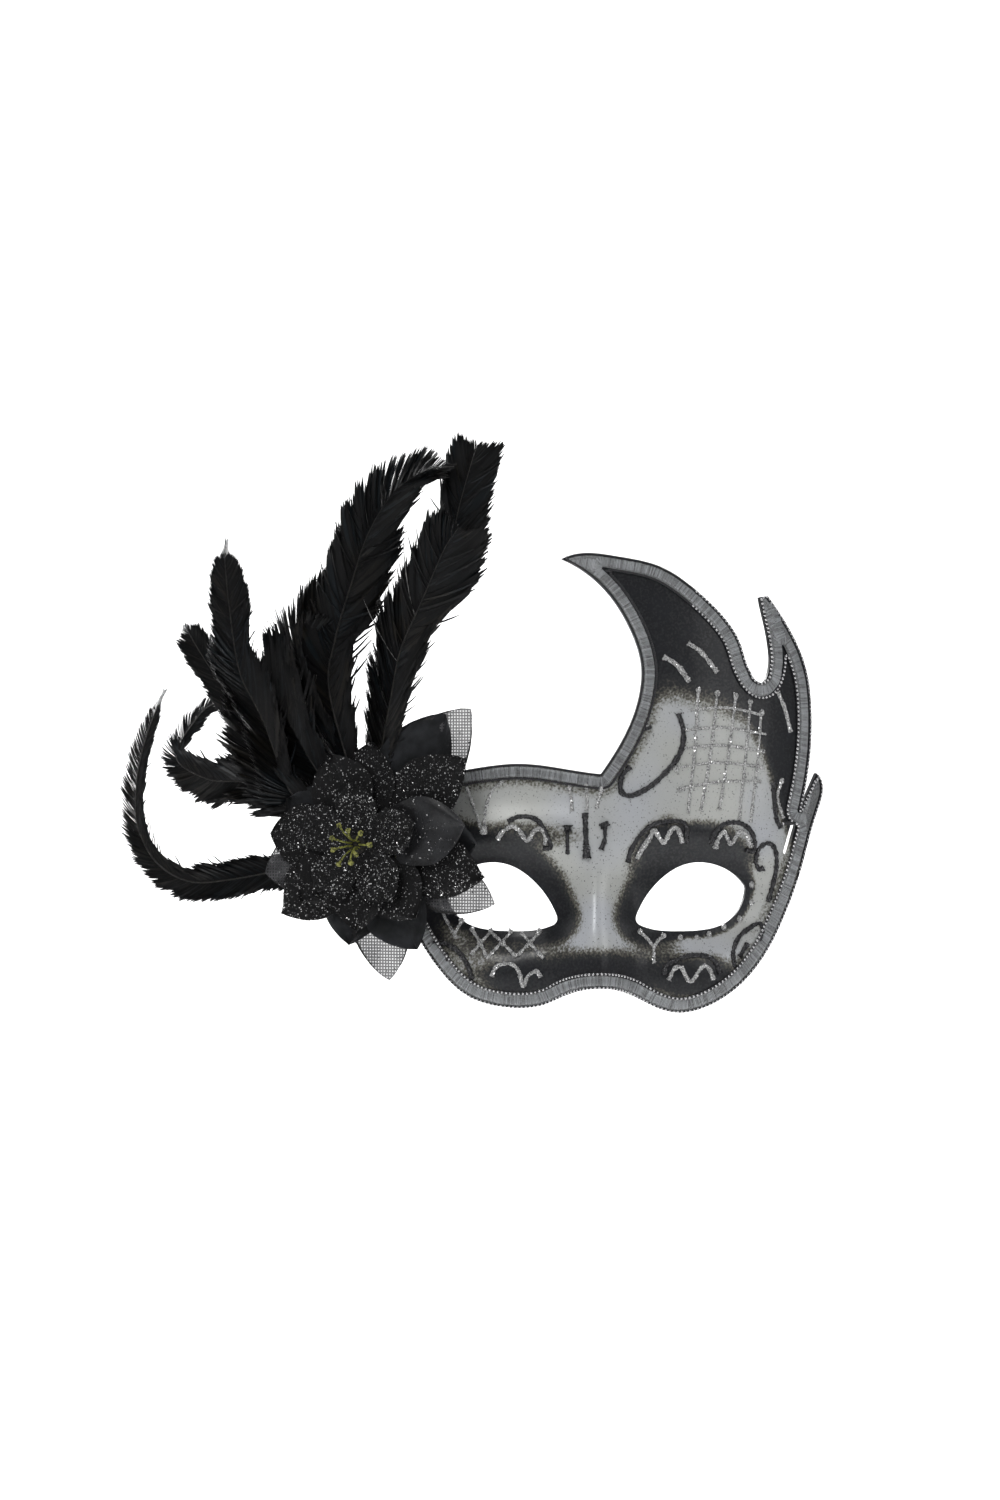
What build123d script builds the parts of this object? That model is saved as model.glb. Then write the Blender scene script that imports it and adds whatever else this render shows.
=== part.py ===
"""A carnival half mask: a moulded shell edged with braid, and a fabric flower that holds a fan of plumes.

Frame, in millimetres: +X to the viewer's right, +Y towards the wearer's head, +Z up. The origin is on the
shell's inside face at the nose bridge, level with the middle of the eye openings.
"""

from build123d import *
from math import atan2, cos, exp, hypot, radians, sin, sqrt
import os

# ---- Driving dimensions ----------------------------------------------------------------------------------
# Shell
MASK_WIDTH = 163.0  # across the temples
MASK_HEIGHT = 165.0  # chin lobes to the tip of the great horn
SHELL_WALL = 1.3
WRAP_DEPTH = 75.0  # how far the face curve would run back at its full half span
EYE_HALF_WIDTH = 20.4
EYE_HALF_HEIGHT = 12.2
EYE_OFFSET = 34.0  # middle of an eye opening from the middle of the nose
EYE_CORNER = 2.5
SOCKET_DEPTH = 4.0  # how far the skin sinks round an eye opening
NOSE_RISE = 13.0
SLOT_LENGTH = 12.0  # tie ribbon slot
SLOT_WIDTH = 1.8
SLOT_MARGIN = 0.6  # from the braid to the slot

# Braid round the edge: a ribbed band between two beaded cords
EDGE_CORD_WIDTH = 0.9
BAND_WIDTH = 3.7
INNER_CORD_WIDTH = 1.0
BRAID_GAP = 0.1
BAND_HEIGHT = 0.7
CORD_HEIGHT = 1.1

# Flower and plumes share an axis, turned out from the face
SPRAY_TURN = 22.0  # degrees
SPRAY_INSET = 4.5  # from the temple's edge
SPRAY_LEVEL = 19.0
PAD_STANDOFF = 6.1  # pad's back face in front of the skin
PAD_RADIUS = 18.0
PAD_THICK = 1.5
STEM_RADIUS = 2.0
FLANGE_THICK = 0.8
FIT = 0.05  # clearance on the stem
COLLAR_RADIUS = 4.6
PLUME_GAP = 0.6  # from a quill's end to the collar
PLUME_REACH = 148.5  # from the axis to the tip of the tallest plume
PLUME_PITCH = 1.6  # from one layer of plumes to the next
PLUME_LEAN = 0.03  # how much further back each layer leans
PLUME_CLEAR = 0.3  # between a quill and the pad or the petals
QUILL_RADIUS = 0.6
VANE_THICK = 0.8
PETAL_THICK = 0.5
PETAL_PITCH = 1.3
PETAL_DISC_RADIUS = 6.0
BUTTON_RADIUS = 3.4
BUTTON_HEIGHT = 1.8
STAMEN_COUNT = 9
STAMEN_REACH = 8.0
STAMEN_RISE = 6.0
STAMEN_RADIUS = 0.35
PIP_RADIUS = 1.1
GLUE_HALF_WIDTH = 3.1
GLUE_HALF_HEIGHT = 9.0

# ---- The face's relief -----------------------------------------------------------------------------------
WIDE = MASK_WIDTH / 163.0  # the outline below is drawn 163 mm wide and 165 mm high
TALL = MASK_HEIGHT / 165.0
WRAP_HALF_SPAN = 100.0 * WIDE
RELIEF_SIDE = MASK_WIDTH / 2 + 10
RELIEF_LOW = -51.0 * TALL
RELIEF_HIGH = 134.0 * TALL
GRID = 4.5  # spacing of the points that the relief is fitted through
SPLINE_SPAN = 5.0  # spacing of the points that a moved outline is redrawn through
BLOCK_BACK = 70.0
BLOCK_DEPTH = 120.0


def bump(x, z, x0, z0, wide, tall):
    """A smooth hill one unit high, on both sides of the face."""
    return exp(-(((abs(x) - x0) / wide) ** 2) - ((z - z0) / tall) ** 2)


def step(t):
    """Falls smoothly from 1 to 0 as t passes 0."""
    return 1 / (1 + exp(t))


def relief(x, z):
    """Y of the skin, before the frame's origin is set. Smaller is further forward."""
    wrap = WRAP_DEPTH * (1 - sqrt(1 - (x / WRAP_HALF_SPAN) ** 2))
    lean = 0.0011 * max(0.0, z - 25) ** 2
    nose = NOSE_RISE * step((z + 4) / 9) * exp(-((x / 11) ** 2)) + 4 * bump(x, z, 0, 5, 13, 30)
    ring = hypot((abs(x) - EYE_OFFSET) / (EYE_HALF_WIDTH + 2), z / (EYE_HALF_HEIGHT + 1))
    socket = SOCKET_DEPTH * step((ring - 1.35) / 0.13)
    cheek = 4 * bump(x, z, 36, -27, 22, 13)
    brow = 3 * bump(x, z, 34, 24, 30, 9)
    return wrap + lean - nose + socket - cheek - brow


def offset_relief(x, z, height):
    """The relief moved forward by height, measured square to the skin."""
    h = 0.01
    dx = (relief(x + h, z) - relief(x - h, z)) / (2 * h)
    dz = (relief(x, z + h) - relief(x, z - h)) / (2 * h)
    return relief(x, z) - height * sqrt(1 + dx * dx + dz * dz)


ORIGIN_Y = offset_relief(0, 0, -SHELL_WALL)


def skin_y(x, z, height=0.0):
    """Y of the surface that stands height in front of the skin."""
    return offset_relief(x, z, height) - ORIGIN_Y


def skin_face(height):
    """The surface that stands height in front of the skin, as one face."""
    across = round(2 * RELIEF_SIDE / GRID)
    upward = round((RELIEF_HIGH - RELIEF_LOW) / GRID)
    xs = [RELIEF_SIDE * (2 * i / across - 1) for i in range(across + 1)]
    zs = [RELIEF_LOW + (RELIEF_HIGH - RELIEF_LOW) * j / upward for j in range(upward + 1)]
    rows = [[Vector(x, skin_y(x, z, height), z) for z in zs] for x in xs]
    return Face.make_surface_from_array_of_points(rows, tol=0.05, min_deg=3, max_deg=3)


# ---- Outline ---------------------------------------------------------------------------------------------
BEHIND = Plane.XZ.offset(-BLOCK_BACK)  # sketches of the face are drawn here, behind it, and extruded forward
HORN_OUTER = [
    (-12.6, 121.8), (-3.6, 124), (7.4, 122.8), (22.5, 119.4), (38.4, 108.7), (46, 101.2), (52.2, 91.5),
]
HORN_NOTCH = [(56, 81), (60.2, 77), (63, 82), (63.3, 89), (61.8, 98), (59.5, 108.4)]
SECOND_HORN = [(62.5, 109), (69.4, 99), (77.3, 81.1), (78.7, 70.2), (77.8, 47.5), (74.5, 31)]
RIGHT_SIDE = [(81, 44.5), (82.7, 42), (80.6, 29.5), (75.8, 13.3), (68.3, -7.5), (57, -26.3), (40, -39)]
LOWER_EDGE = [(29, -41.3), (19.4, -38.5), (9, -33.3), (0, -32), (-9, -33.8), (-18.4, -38.2), (-30, -39.5)]
LEFT_SIDE = [(-47, -35), (-57, -25.5), (-68.3, -7.5), (-77, 13.3), (-80, 28), (-74, 38.5)]
BROW_EDGE = [(-60, 43.5), (-45.7, 46), (-26.8, 48), (-8, 45.6), (1.4, 44.3)]
HORN_INNER = [(1.4, 44.3), (10.2, 58.4), (15.2, 72), (16.2, 82.5), (12.2, 96.3), (4, 109.5), (-12.6, 121.8)]
STRETCHES = [  # from one sharp corner to the next
    HORN_OUTER + HORN_NOTCH,
    [HORN_NOTCH[-1], SECOND_HORN[0]],
    SECOND_HORN,
    [SECOND_HORN[-1], RIGHT_SIDE[0]],
    RIGHT_SIDE + LOWER_EDGE + LEFT_SIDE + BROW_EDGE,
    HORN_INNER,
]
with BuildSketch() as outline:
    with BuildLine():
        for stretch in STRETCHES:
            points = [(x * WIDE, z * TALL) for x, z in stretch]
            if len(points) == 2:
                Line(*points)
            else:
                Spline(*points)
    make_face()

# Each temple: a point on the edge, the edge's direction in degrees, and the turn from it to the inside
TEMPLES = {"right": (77.4 * WIDE, 18.7 * TALL, 73.5, 90), "left": (-78.2 * WIDE, 18.7 * TALL, 101.5, -90)}
BRAID_WIDTH = EDGE_CORD_WIDTH + BAND_WIDTH + INNER_CORD_WIDTH + 2 * BRAID_GAP


def slot_place(side):
    """Where a tie slot's middle lies in the outline's plane, turned along the edge."""
    x, z, direction, turn = TEMPLES[side]
    inset = BRAID_WIDTH + SLOT_MARGIN + SLOT_WIDTH / 2
    inward = radians(direction + turn)
    return Location((x + inset * cos(inward), z + inset * sin(inward)), direction)


def draw_eye():
    """The right eye opening: a low blunt corner by the nose and a raised outer corner."""
    w, h = EYE_HALF_WIDTH, EYE_HALF_HEIGHT
    upper = [(-1, -0.72), (-0.6, 0.42), (0, 1), (0.6, 0.84), (1, 0.26)]
    lower = [(1, 0.26), (0.62, -0.78), (-0.2, -1), (-0.72, -0.92), (-1, -0.72)]
    with BuildLine() as rim:
        for side in (upper, lower):
            Spline(*[(EYE_OFFSET + w * across, h * up) for across, up in side])
    make_face(rim.edges())


with BuildPart() as shell:
    with BuildSketch(BEHIND):
        add(outline.sketch)
        with BuildSketch(mode=Mode.PRIVATE) as eye:
            draw_eye()
            fillet(eye.vertices(), EYE_CORNER)
        add(eye.sketch, mode=Mode.SUBTRACT)
        mirror(eye.sketch, about=Plane.YZ, mode=Mode.SUBTRACT)
        for side in TEMPLES:
            with Locations(slot_place(side)):
                SlotOverall(SLOT_LENGTH, SLOT_WIDTH, mode=Mode.SUBTRACT)
    extrude(amount=BLOCK_DEPTH)
    split(bisect_by=skin_face(0), keep=Keep.BOTTOM)
    split(bisect_by=skin_face(-SHELL_WALL), keep=Keep.TOP)


# ---- Braid -----------------------------------------------------------------------------------------------
def draw_inset_outline(inset):
    """The outline moved inwards, in the current sketch, with each moved curve redrawn as a plain spline."""
    moved = offset(outline.sketch_local, amount=-inset, kind=Kind.ARC, mode=Mode.PRIVATE)
    with BuildLine() as rim:
        for edge in moved.edges():
            if edge.geom_type == GeomType.OFFSET:
                spans = max(3, round(edge.length / SPLINE_SPAN))
                Spline(*[edge @ (i / spans) for i in range(spans + 1)])
            else:
                add(edge)
    make_face(rim.edges())


def skin_layer(height):
    """A sheet of even thickness that covers the whole outline, standing on the skin."""
    with BuildPart() as layer:
        with BuildSketch(BEHIND):
            add(outline.sketch)
        extrude(amount=BLOCK_DEPTH)
        split(bisect_by=skin_face(0), keep=Keep.TOP)
        split(bisect_by=skin_face(height), keep=Keep.BOTTOM)
    return layer.part


def edge_strip(layer, inset, width):
    """The part of a skin layer that follows the outline at an inset."""
    with BuildPart() as strip:
        add(layer)
        if inset > 0:
            with BuildSketch(BEHIND):
                draw_inset_outline(inset)
            extrude(amount=BLOCK_DEPTH, mode=Mode.INTERSECT)
        with BuildSketch(BEHIND):
            draw_inset_outline(inset + width)
        extrude(amount=BLOCK_DEPTH, mode=Mode.SUBTRACT)
    return strip


cord_layer = skin_layer(CORD_HEIGHT)
braid_edge_cord = edge_strip(cord_layer, 0, EDGE_CORD_WIDTH)
braid_band = edge_strip(skin_layer(BAND_HEIGHT), EDGE_CORD_WIDTH + BRAID_GAP, BAND_WIDTH)
braid_inner_cord = edge_strip(cord_layer, BRAID_WIDTH - INNER_CORD_WIDTH, INNER_CORD_WIDTH)

# ---- Spray axis ------------------------------------------------------------------------------------------
SPRAY_X = -MASK_WIDTH / 2 + SPRAY_INSET
SPRAY_ROOT = Vector(SPRAY_X, skin_y(SPRAY_X, SPRAY_LEVEL), SPRAY_LEVEL)
TURN = radians(SPRAY_TURN)
OUTWARD = Vector(-sin(TURN), -cos(TURN), 0)
ACROSS = Vector(cos(TURN), -sin(TURN), 0)


def spray_plane(height):
    """A plane square to the spray's axis, height in front of its root on the skin. Its Y axis is up."""
    return Plane(origin=SPRAY_ROOT + OUTWARD * height, x_dir=ACROSS, z_dir=OUTWARD)


PAD_FRONT = PAD_STANDOFF + PAD_THICK
PLUME_LAYERS = 5
QUILL_ROOT = COLLAR_RADIUS + PLUME_GAP
REAR_LEAN = PLUME_LEAN * (PLUME_LAYERS - 1)
# Middle of the rearmost quills at their roots, from where they lean back and just clear the pad's rim
PLUME_FIRST = PAD_FRONT + PLUME_CLEAR + QUILL_RADIUS + REAR_LEAN * (PAD_RADIUS - QUILL_ROOT)
PETALS_BACK = PLUME_FIRST + (PLUME_LAYERS - 1) * PLUME_PITCH + QUILL_RADIUS + PLUME_CLEAR
PETAL_LAYERS = 5
PETALS_FRONT = PETALS_BACK + (PETAL_LAYERS - 1) * PETAL_PITCH + PETAL_THICK

with BuildPart() as felt_pad:
    with BuildSketch(spray_plane(PAD_STANDOFF)):
        Circle(PAD_RADIUS)
        Circle(STEM_RADIUS + FIT, mode=Mode.SUBTRACT)
    extrude(amount=PAD_THICK)

with BuildPart() as glue_mound:
    with BuildSketch(spray_plane(-PAD_STANDOFF)):
        with Locations((PAD_RADIUS - 0.4 - GLUE_HALF_WIDTH, 0)):
            Ellipse(GLUE_HALF_WIDTH, GLUE_HALF_HEIGHT)
    extrude(amount=2 * PAD_STANDOFF)
    split(bisect_by=skin_face(0), keep=Keep.TOP)

# The stem: a flange behind the pad, a collar between the pad and the petals, and a pin through the petals
with BuildPart() as flower_stem:
    with BuildSketch(spray_plane(PAD_STANDOFF - FLANGE_THICK)):
        Circle(COLLAR_RADIUS)
    extrude(amount=FLANGE_THICK)
    with BuildSketch(spray_plane(PAD_STANDOFF)):
        Circle(STEM_RADIUS)
    extrude(amount=PETALS_FRONT + BUTTON_HEIGHT / 2 - PAD_STANDOFF)
    with BuildSketch(spray_plane(PAD_FRONT)):
        Circle(COLLAR_RADIUS)
    extrude(amount=PETALS_BACK - PAD_FRONT)


# ---- Flower ----------------------------------------------------------------------------------------------
def draw_petal(length, width, direction):
    """One petal in the current sketch, from the middle outwards: narrow at its base, with a blunt point."""
    profile = [(3, 0.16), (0.35 * length, 0.4), (0.68 * length, 0.5), (0.92 * length, 0.27)]
    left = [(r, width * share) for r, share in profile]
    right = [(r, -side) for r, side in reversed(left)]
    a = radians(direction)
    route = [(r * cos(a) - s * sin(a), r * sin(a) + s * cos(a)) for r, s in left + [(length, 0)] + right]
    with BuildLine() as rim:
        Spline(*route)
        Line(route[-1], route[0])
    make_face(rim.edges())


# Each layer from the back: petals as (length, width, direction in degrees from the viewer's right)
PETAL_SETS = {
    "petals_grey": [(63.5, 27, 50), (54.5, 22, -24), (49.5, 24, -76), (40, 24, 196)],
    "petals_matte": [(56, 25, 55), (43, 24, -62), (37, 26, -100), (33, 24, 150)],
    "petals_glitter": [(50, 26, 33), (50, 22, -12), (39, 25, -138), (31, 24, 166)],
    "petals_satin": [(45, 24, 9), (34, 22, -48), (31, 22, 98), (27, 20, 222)],
    "petals_inner": [(24, 17, 72 * i + 20) for i in range(5)],
}


def petal_layer(level, petals):
    """One die-cut layer: a disc with its petals, threaded on the stem."""
    with BuildPart() as layer:
        with BuildSketch(spray_plane(PETALS_BACK + level * PETAL_PITCH)):
            Circle(PETAL_DISC_RADIUS)
            for length, width, direction in petals:
                draw_petal(length, width, direction)
            Circle(STEM_RADIUS + FIT, mode=Mode.SUBTRACT)
        extrude(amount=PETAL_THICK)
    return layer


petal_layers = {name: petal_layer(i, petals) for i, (name, petals) in enumerate(PETAL_SETS.items())}

with BuildPart() as flower_button:
    with BuildSketch(spray_plane(PETALS_FRONT)):
        Circle(BUTTON_RADIUS)
    extrude(amount=BUTTON_HEIGHT)
    front_face = flower_button.faces().sort_by(Axis(SPRAY_ROOT, OUTWARD))[-1]
    fillet(front_face.edges(), BUTTON_HEIGHT / 4)
    with BuildSketch(spray_plane(PETALS_FRONT)):
        Circle(STEM_RADIUS + FIT)
    extrude(amount=BUTTON_HEIGHT / 2 + FIT, mode=Mode.SUBTRACT)

# Stamens stand on the button in a ring, each curving outwards to a pip
STAMEN_FOOT = BUTTON_RADIUS / 2
BUTTON_FRONT = PETALS_FRONT + BUTTON_HEIGHT
BUTTON_PLANE = spray_plane(BUTTON_FRONT)


def stamen_path(turn, reach, rise):
    """Foot, knee and tip of one stamen, in the frame."""
    knee = 0.45 * (reach - STAMEN_FOOT) + STAMEN_FOOT
    spots = [(STAMEN_FOOT, 0), (knee, 0.8 * rise), (reach, rise)]
    a = radians(turn)
    return [BUTTON_PLANE.from_local_coords(Vector(r * cos(a), r * sin(a), h)) for r, h in spots]


stamen_paths = []
for i in range(STAMEN_COUNT):
    share = 1 - 0.35 * (i % 3) / 2  # long, middling and short stamens in turn
    stamen_paths.append(stamen_path(360 * i / STAMEN_COUNT, STAMEN_REACH * share, STAMEN_RISE / share))

with BuildPart() as stamens:
    for foot, knee, tip in stamen_paths:
        with BuildLine() as filament:
            ThreePointArc(foot, knee, tip)
        with BuildSketch(Plane(origin=filament.line @ 0, z_dir=filament.line % 0)):
            Circle(STAMEN_RADIUS)
        sweep(path=filament.line)
    split(bisect_by=BUTTON_PLANE, keep=Keep.TOP)

with BuildPart() as stamen_pips:
    for foot, knee, tip in stamen_paths:
        with Locations(tip):
            Sphere(PIP_RADIUS)
    add(stamens.part, mode=Mode.SUBTRACT)

# ---- Plumes ----------------------------------------------------------------------------------------------
# Each plume: its layer from the back, and stations of (across, up, width) measured square to the spray's axis
PLUMES = {
    "plume_hook": (
        0,
        [(-30, 14, 16), (-50.5, 21.5, 16), (-69, 23, 13), (-82.5, 29, 9.5), (-82.5, 35.5, 8), (-77.5, 43, 7),
         (-70.5, 50, 6), (-60.5, 53, 2)],
    ),
    "plume_arch_strand": (0, [(-33.5, 61, 17), (-30.5, 76, 16), (-21.5, 92, 11), (-13.5, 103, 3)]),
    "plume_tall_upright": (
        0,
        [(3.5, 41, 13), (6, 61, 15), (13.5, 84, 17), (24, 105, 18), (28.5, 124, 17), (32, 138, 13),
         (34, 144.5, 8)],
    ),
    "plume_side_long": (
        1,
        [(-28.5, 23, 10), (-49.5, 41, 11), (-64, 59, 11), (-72.5, 70, 10), (-79.5, 80, 5)],
    ),
    "plume_tall_arch": (
        1,
        [(-18.5, 55.5, 21), (-17, 73.5, 22), (-11, 95, 21), (-5, 113, 18), (4.5, 127.5, 14), (17.5, 135.5, 9),
         (27.5, 136.5, 4)],
    ),
    "plume_side_short": (2, [(-32, 16, 17), (-43, 30.5, 20), (-47.5, 44.5, 16), (-49, 52, 6)]),
    "plume_sickle": (
        2,
        [(-34, -9.5, 12), (-56, -13.5, 13), (-73.5, -14.5, 10.5), (-87.5, -8, 10), (-95.5, 5, 10),
         (-96.5, 19.5, 9), (-93.5, 35.5, 7), (-88, 50, 4), (-85, 56, 1.5)],
    ),
    "plume_side_broad": (3, [(-23, 30.5, 22), (-35, 50, 25), (-44, 63, 10)]),
    "plume_spike": (
        4,
        [(-30, 19.5, 14), (-40.5, 44.5, 17), (-50, 62.5, 15), (-54, 84.5, 12), (-56, 102.5, 5),
         (-55.5, 110.5, 1.5)],
    ),
    "plume_broad_upright": (4, [(10, 52, 19), (14, 70, 24), (22.5, 88, 28), (33, 106, 17), (38.5, 113, 5)]),
}
QUILL_BARE = 5.0  # length of bare quill at the root
VANE_START = 6.0  # beyond the pad's rim, where the vane begins
VANE_BASE_WIDTH = 6.0
PLUME_SCALE = PLUME_REACH / 148.5  # the stations above are drawn for this reach


def plume_solid(layer, stations):
    """A round quill that widens into a thin vane, lofted along a smooth curve through the stations."""
    first_x, first_y, first_width = stations[0]
    direction = atan2(first_y, first_x)
    bare_end = QUILL_ROOT + QUILL_BARE
    vane_start = PAD_RADIUS + VANE_START
    quill = [(QUILL_ROOT, 2 * QUILL_RADIUS), (bare_end, 2 * QUILL_RADIUS), (vane_start, VANE_BASE_WIDTH)]
    spots = [(r * cos(direction), r * sin(direction), width) for r, width in quill]
    spots += [(x * PLUME_SCALE, y * PLUME_SCALE, width) for x, y, width in stations]
    lean = PLUME_LEAN * (PLUME_LAYERS - 1 - layer)
    plane = spray_plane(PLUME_FIRST + layer * PLUME_PITCH)
    heights = [-lean * (hypot(x, y) - QUILL_ROOT) for x, y, width in spots]
    middle = [plane.from_local_coords(Vector(x, y, h)) for (x, y, width), h in zip(spots, heights)]
    with BuildLine():
        shaft = Spline(*middle)
    sections = []
    for spot, (x, y, width) in zip(middle, spots):
        along = shaft % shaft.param_at_point(spot)
        half_width = width / 2
        half_thick = (VANE_THICK if width > 2 * QUILL_RADIUS else width) / 2
        with BuildSketch(Plane(origin=spot, x_dir=OUTWARD.cross(along), z_dir=along)) as section:
            with BuildLine() as rim:
                ThreePointArc((-half_width, 0), (0, half_thick), (half_width, 0))
                ThreePointArc((half_width, 0), (0, -half_thick), (-half_width, 0))
            make_face(rim.edges())
        sections.append(section.sketch)
    with BuildPart() as plume:
        for this, following in zip(sections, sections[1:]):
            loft([this, following])
    return plume


plumes = {name: plume_solid(layer, stations) for name, (layer, stations) in PLUMES.items()}

# ---- Output ----------------------------------------------------------------------------------------------
pieces = {
    "shell": shell,
    "braid_edge_cord": braid_edge_cord,
    "braid_band": braid_band,
    "braid_inner_cord": braid_inner_cord,
    "glue_mound": glue_mound,
    "felt_pad": felt_pad,
    "flower_stem": flower_stem,
    **petal_layers,
    "flower_button": flower_button,
    "stamens": stamens,
    "stamen_pips": stamen_pips,
    **plumes,
}
os.makedirs("parts", exist_ok=True)
for name, piece in pieces.items():
    piece.part.label = name
    export_step(piece.part, f"parts/{name}.step")
    print(name, round(piece.part.volume, 1))
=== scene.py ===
# %% [markdown]
# A carnival half mask is a thin moulded shell with everything else glued on: braid round the edge, glitter
# glue
# lines, a cloth flower, and a fan of dyed plumes. The model that moves is already packed as a frame of named
# bodies. This script only gives each piece its real surface, and lets it ride on its body.

# %% Load the frame
import bmesh
import bpy
import random
from math import atan2, cos, exp, hypot, pi, radians, sin
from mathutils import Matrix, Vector, noise
from mathutils.bvhtree import BVHTree
from mathutils.geometry import delaunay_2d_cdt
from mathutils.kdtree import KDTree


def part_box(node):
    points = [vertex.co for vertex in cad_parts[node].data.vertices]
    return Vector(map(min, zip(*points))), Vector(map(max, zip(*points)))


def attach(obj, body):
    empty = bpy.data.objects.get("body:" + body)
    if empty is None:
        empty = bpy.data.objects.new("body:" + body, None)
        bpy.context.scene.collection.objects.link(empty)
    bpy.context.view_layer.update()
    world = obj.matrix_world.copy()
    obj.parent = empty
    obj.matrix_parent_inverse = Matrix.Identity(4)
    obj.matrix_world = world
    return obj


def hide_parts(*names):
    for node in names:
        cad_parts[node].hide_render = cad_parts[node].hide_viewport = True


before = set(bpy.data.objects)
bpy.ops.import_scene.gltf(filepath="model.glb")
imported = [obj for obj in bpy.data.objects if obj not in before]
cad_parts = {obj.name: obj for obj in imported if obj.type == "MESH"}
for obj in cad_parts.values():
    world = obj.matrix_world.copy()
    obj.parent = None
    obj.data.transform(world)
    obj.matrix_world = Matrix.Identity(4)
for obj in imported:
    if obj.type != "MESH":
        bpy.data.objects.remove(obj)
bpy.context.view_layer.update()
MM = 0.001

# %% [markdown]
# Long node chains are hard to read as a list of links, so one small class stands for a socket. Adding or
# multiplying it adds the Math node and hands back that node's output. The same class serves shaders and
# Geometry Nodes.

# %% Sockets that do arithmetic
class Wire:
    """An output socket; its operators add Math nodes."""

    def __init__(self, graph, socket):
        self.graph = graph
        self.socket = socket

    def maths(self, operation, *others):
        return self.graph.add("ShaderNodeMath", self, *others, operation=operation)

    def __add__(self, other):
        return self.maths("ADD", other)

    def __sub__(self, other):
        return self.maths("SUBTRACT", other)

    def __mul__(self, other):
        return self.maths("MULTIPLY", other)

    def __truediv__(self, other):
        return self.maths("DIVIDE", other)

    def __rsub__(self, other):
        return self.graph.add("ShaderNodeMath", other, self, operation="SUBTRACT")

    def __lt__(self, other):
        return self.maths("LESS_THAN", other)

    def __gt__(self, other):
        return self.maths("GREATER_THAN", other)

    __radd__ = __add__
    __rmul__ = __mul__

    def soft_step(self, low, high):
        """0 below low, 1 above high, smooth between."""
        return self.graph.add("ShaderNodeMapRange", self, low, high, 0.0, 1.0,
                              interpolation_type="SMOOTHSTEP")


class Graph:
    """A node tree that is filled from Python."""

    def __init__(self, tree):
        self.tree = tree

    def node(self, kind, *values, named=None, **settings):
        """Adds a node, applies its settings, then feeds its sockets in order or by name."""
        node = self.tree.nodes.new(kind)
        for setting, value in settings.items():
            if setting == "stops":
                fill_ramp(node.color_ramp, value)
            else:
                setattr(node, setting, value)
        sockets = [socket for socket in node.inputs if socket.enabled]
        for socket, value in zip(sockets, values):
            self.feed(socket, value)
        for name, value in (named or {}).items():
            self.feed(next(s for s in sockets if s.name == name), value)
        return node

    def add(self, kind, *values, output=0, named=None, **settings):
        """Adds a node and returns one of its outputs as a wire."""
        node = self.node(kind, *values, named=named, **settings)
        outputs = [socket for socket in node.outputs if socket.enabled]
        socket = outputs[output] if isinstance(output, int) else next(s for s in outputs if s.name == output)
        return Wire(self, socket)

    def feed(self, socket, value):
        if isinstance(value, Wire):
            self.tree.links.new(value.socket, socket)
        elif value is not None:
            socket.default_value = value


def fill_ramp(ramp, stops):
    """Sets a colour ramp from (position, grey) or (position, (r, g, b)) pairs."""
    while len(ramp.elements) < len(stops):
        ramp.elements.new(1.0)
    for element, (position, colour) in zip(ramp.elements, stops):
        element.position = position
        element.color = (*colour, 1) if isinstance(colour, tuple) else (colour, colour, colour, 1)


# %% [markdown]
# Every finish is a Principled shader. What is even over a surface, such as its coat roughness or sheen, is
# set
# on the shader's own socket. Patterns are in millimetres on Object coordinates, so they keep their real
# scale.

# %% A finish and its pattern coordinates
class Finish(Graph):
    """A material in the making: its tree, its Principled shader, and places to read patterns from."""

    def __init__(self, name, roughness=0.5, **even):
        self.material = bpy.data.materials.new(name)
        self.material.use_nodes = True
        super().__init__(self.material.node_tree)
        self.shader = next(n for n in self.tree.nodes if n.type == "BSDF_PRINCIPLED")
        self.set("Roughness", roughness)
        for socket, value in even.items():
            self.set(socket.replace("_", " "), value)
        place = self.add("ShaderNodeTexCoord", output="Object")
        self.mm = self.add("ShaderNodeVectorMath", named={"Vector": place, "Scale": 1000.0},
                           operation="SCALE")

    def set(self, socket, value):
        self.feed(self.shader.inputs[socket], value)

    def noise(self, scale, detail=2.0, where=None, output="Fac"):
        return self.add("ShaderNodeTexNoise", output=output,
                        named={"Vector": where or self.mm, "Scale": scale, "Detail": detail})

    def mix(self, factor, first, second):
        """A colour between two colours."""
        pair = [(*c, 1) if isinstance(c, tuple) and len(c) == 3 else c for c in (first, second)]
        return self.add("ShaderNodeMix", factor, *pair, output="Result", data_type="RGBA")

    def bump(self, height, distance, strength=1.0, below=None):
        """Feeds the normal from a height in millimetres."""
        named = {"Strength": strength, "Distance": distance * MM, "Height": height}
        if below is not None:
            named["Normal"] = below
        normal = self.add("ShaderNodeBump", named=named)
        self.set("Normal", normal)
        return normal


# %% [markdown]
# The view is straight on and from far away, so a long lens keeps the mask's curve from being exaggerated. The
# stage is one pale sweep with large soft lights, which suits a glossy moulding.

# %% Camera, lights and stage
VIEW_HEIGHT = 0.54  # metres seen from top to bottom at the mask
VIEW_DISTANCE = 1.6
SENSOR = 36.0
camera = bpy.data.objects.new("camera", bpy.data.cameras.new("camera"))
camera.data.sensor_width = SENSOR
camera.data.lens = SENSOR * VIEW_DISTANCE / VIEW_HEIGHT
camera.location = (-0.0346, 0.015 - VIEW_DISTANCE, 0.0529)
camera.rotation_euler = (pi / 2, 0, 0)
bpy.context.scene.collection.objects.link(camera)
bpy.context.scene.camera = camera


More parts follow.
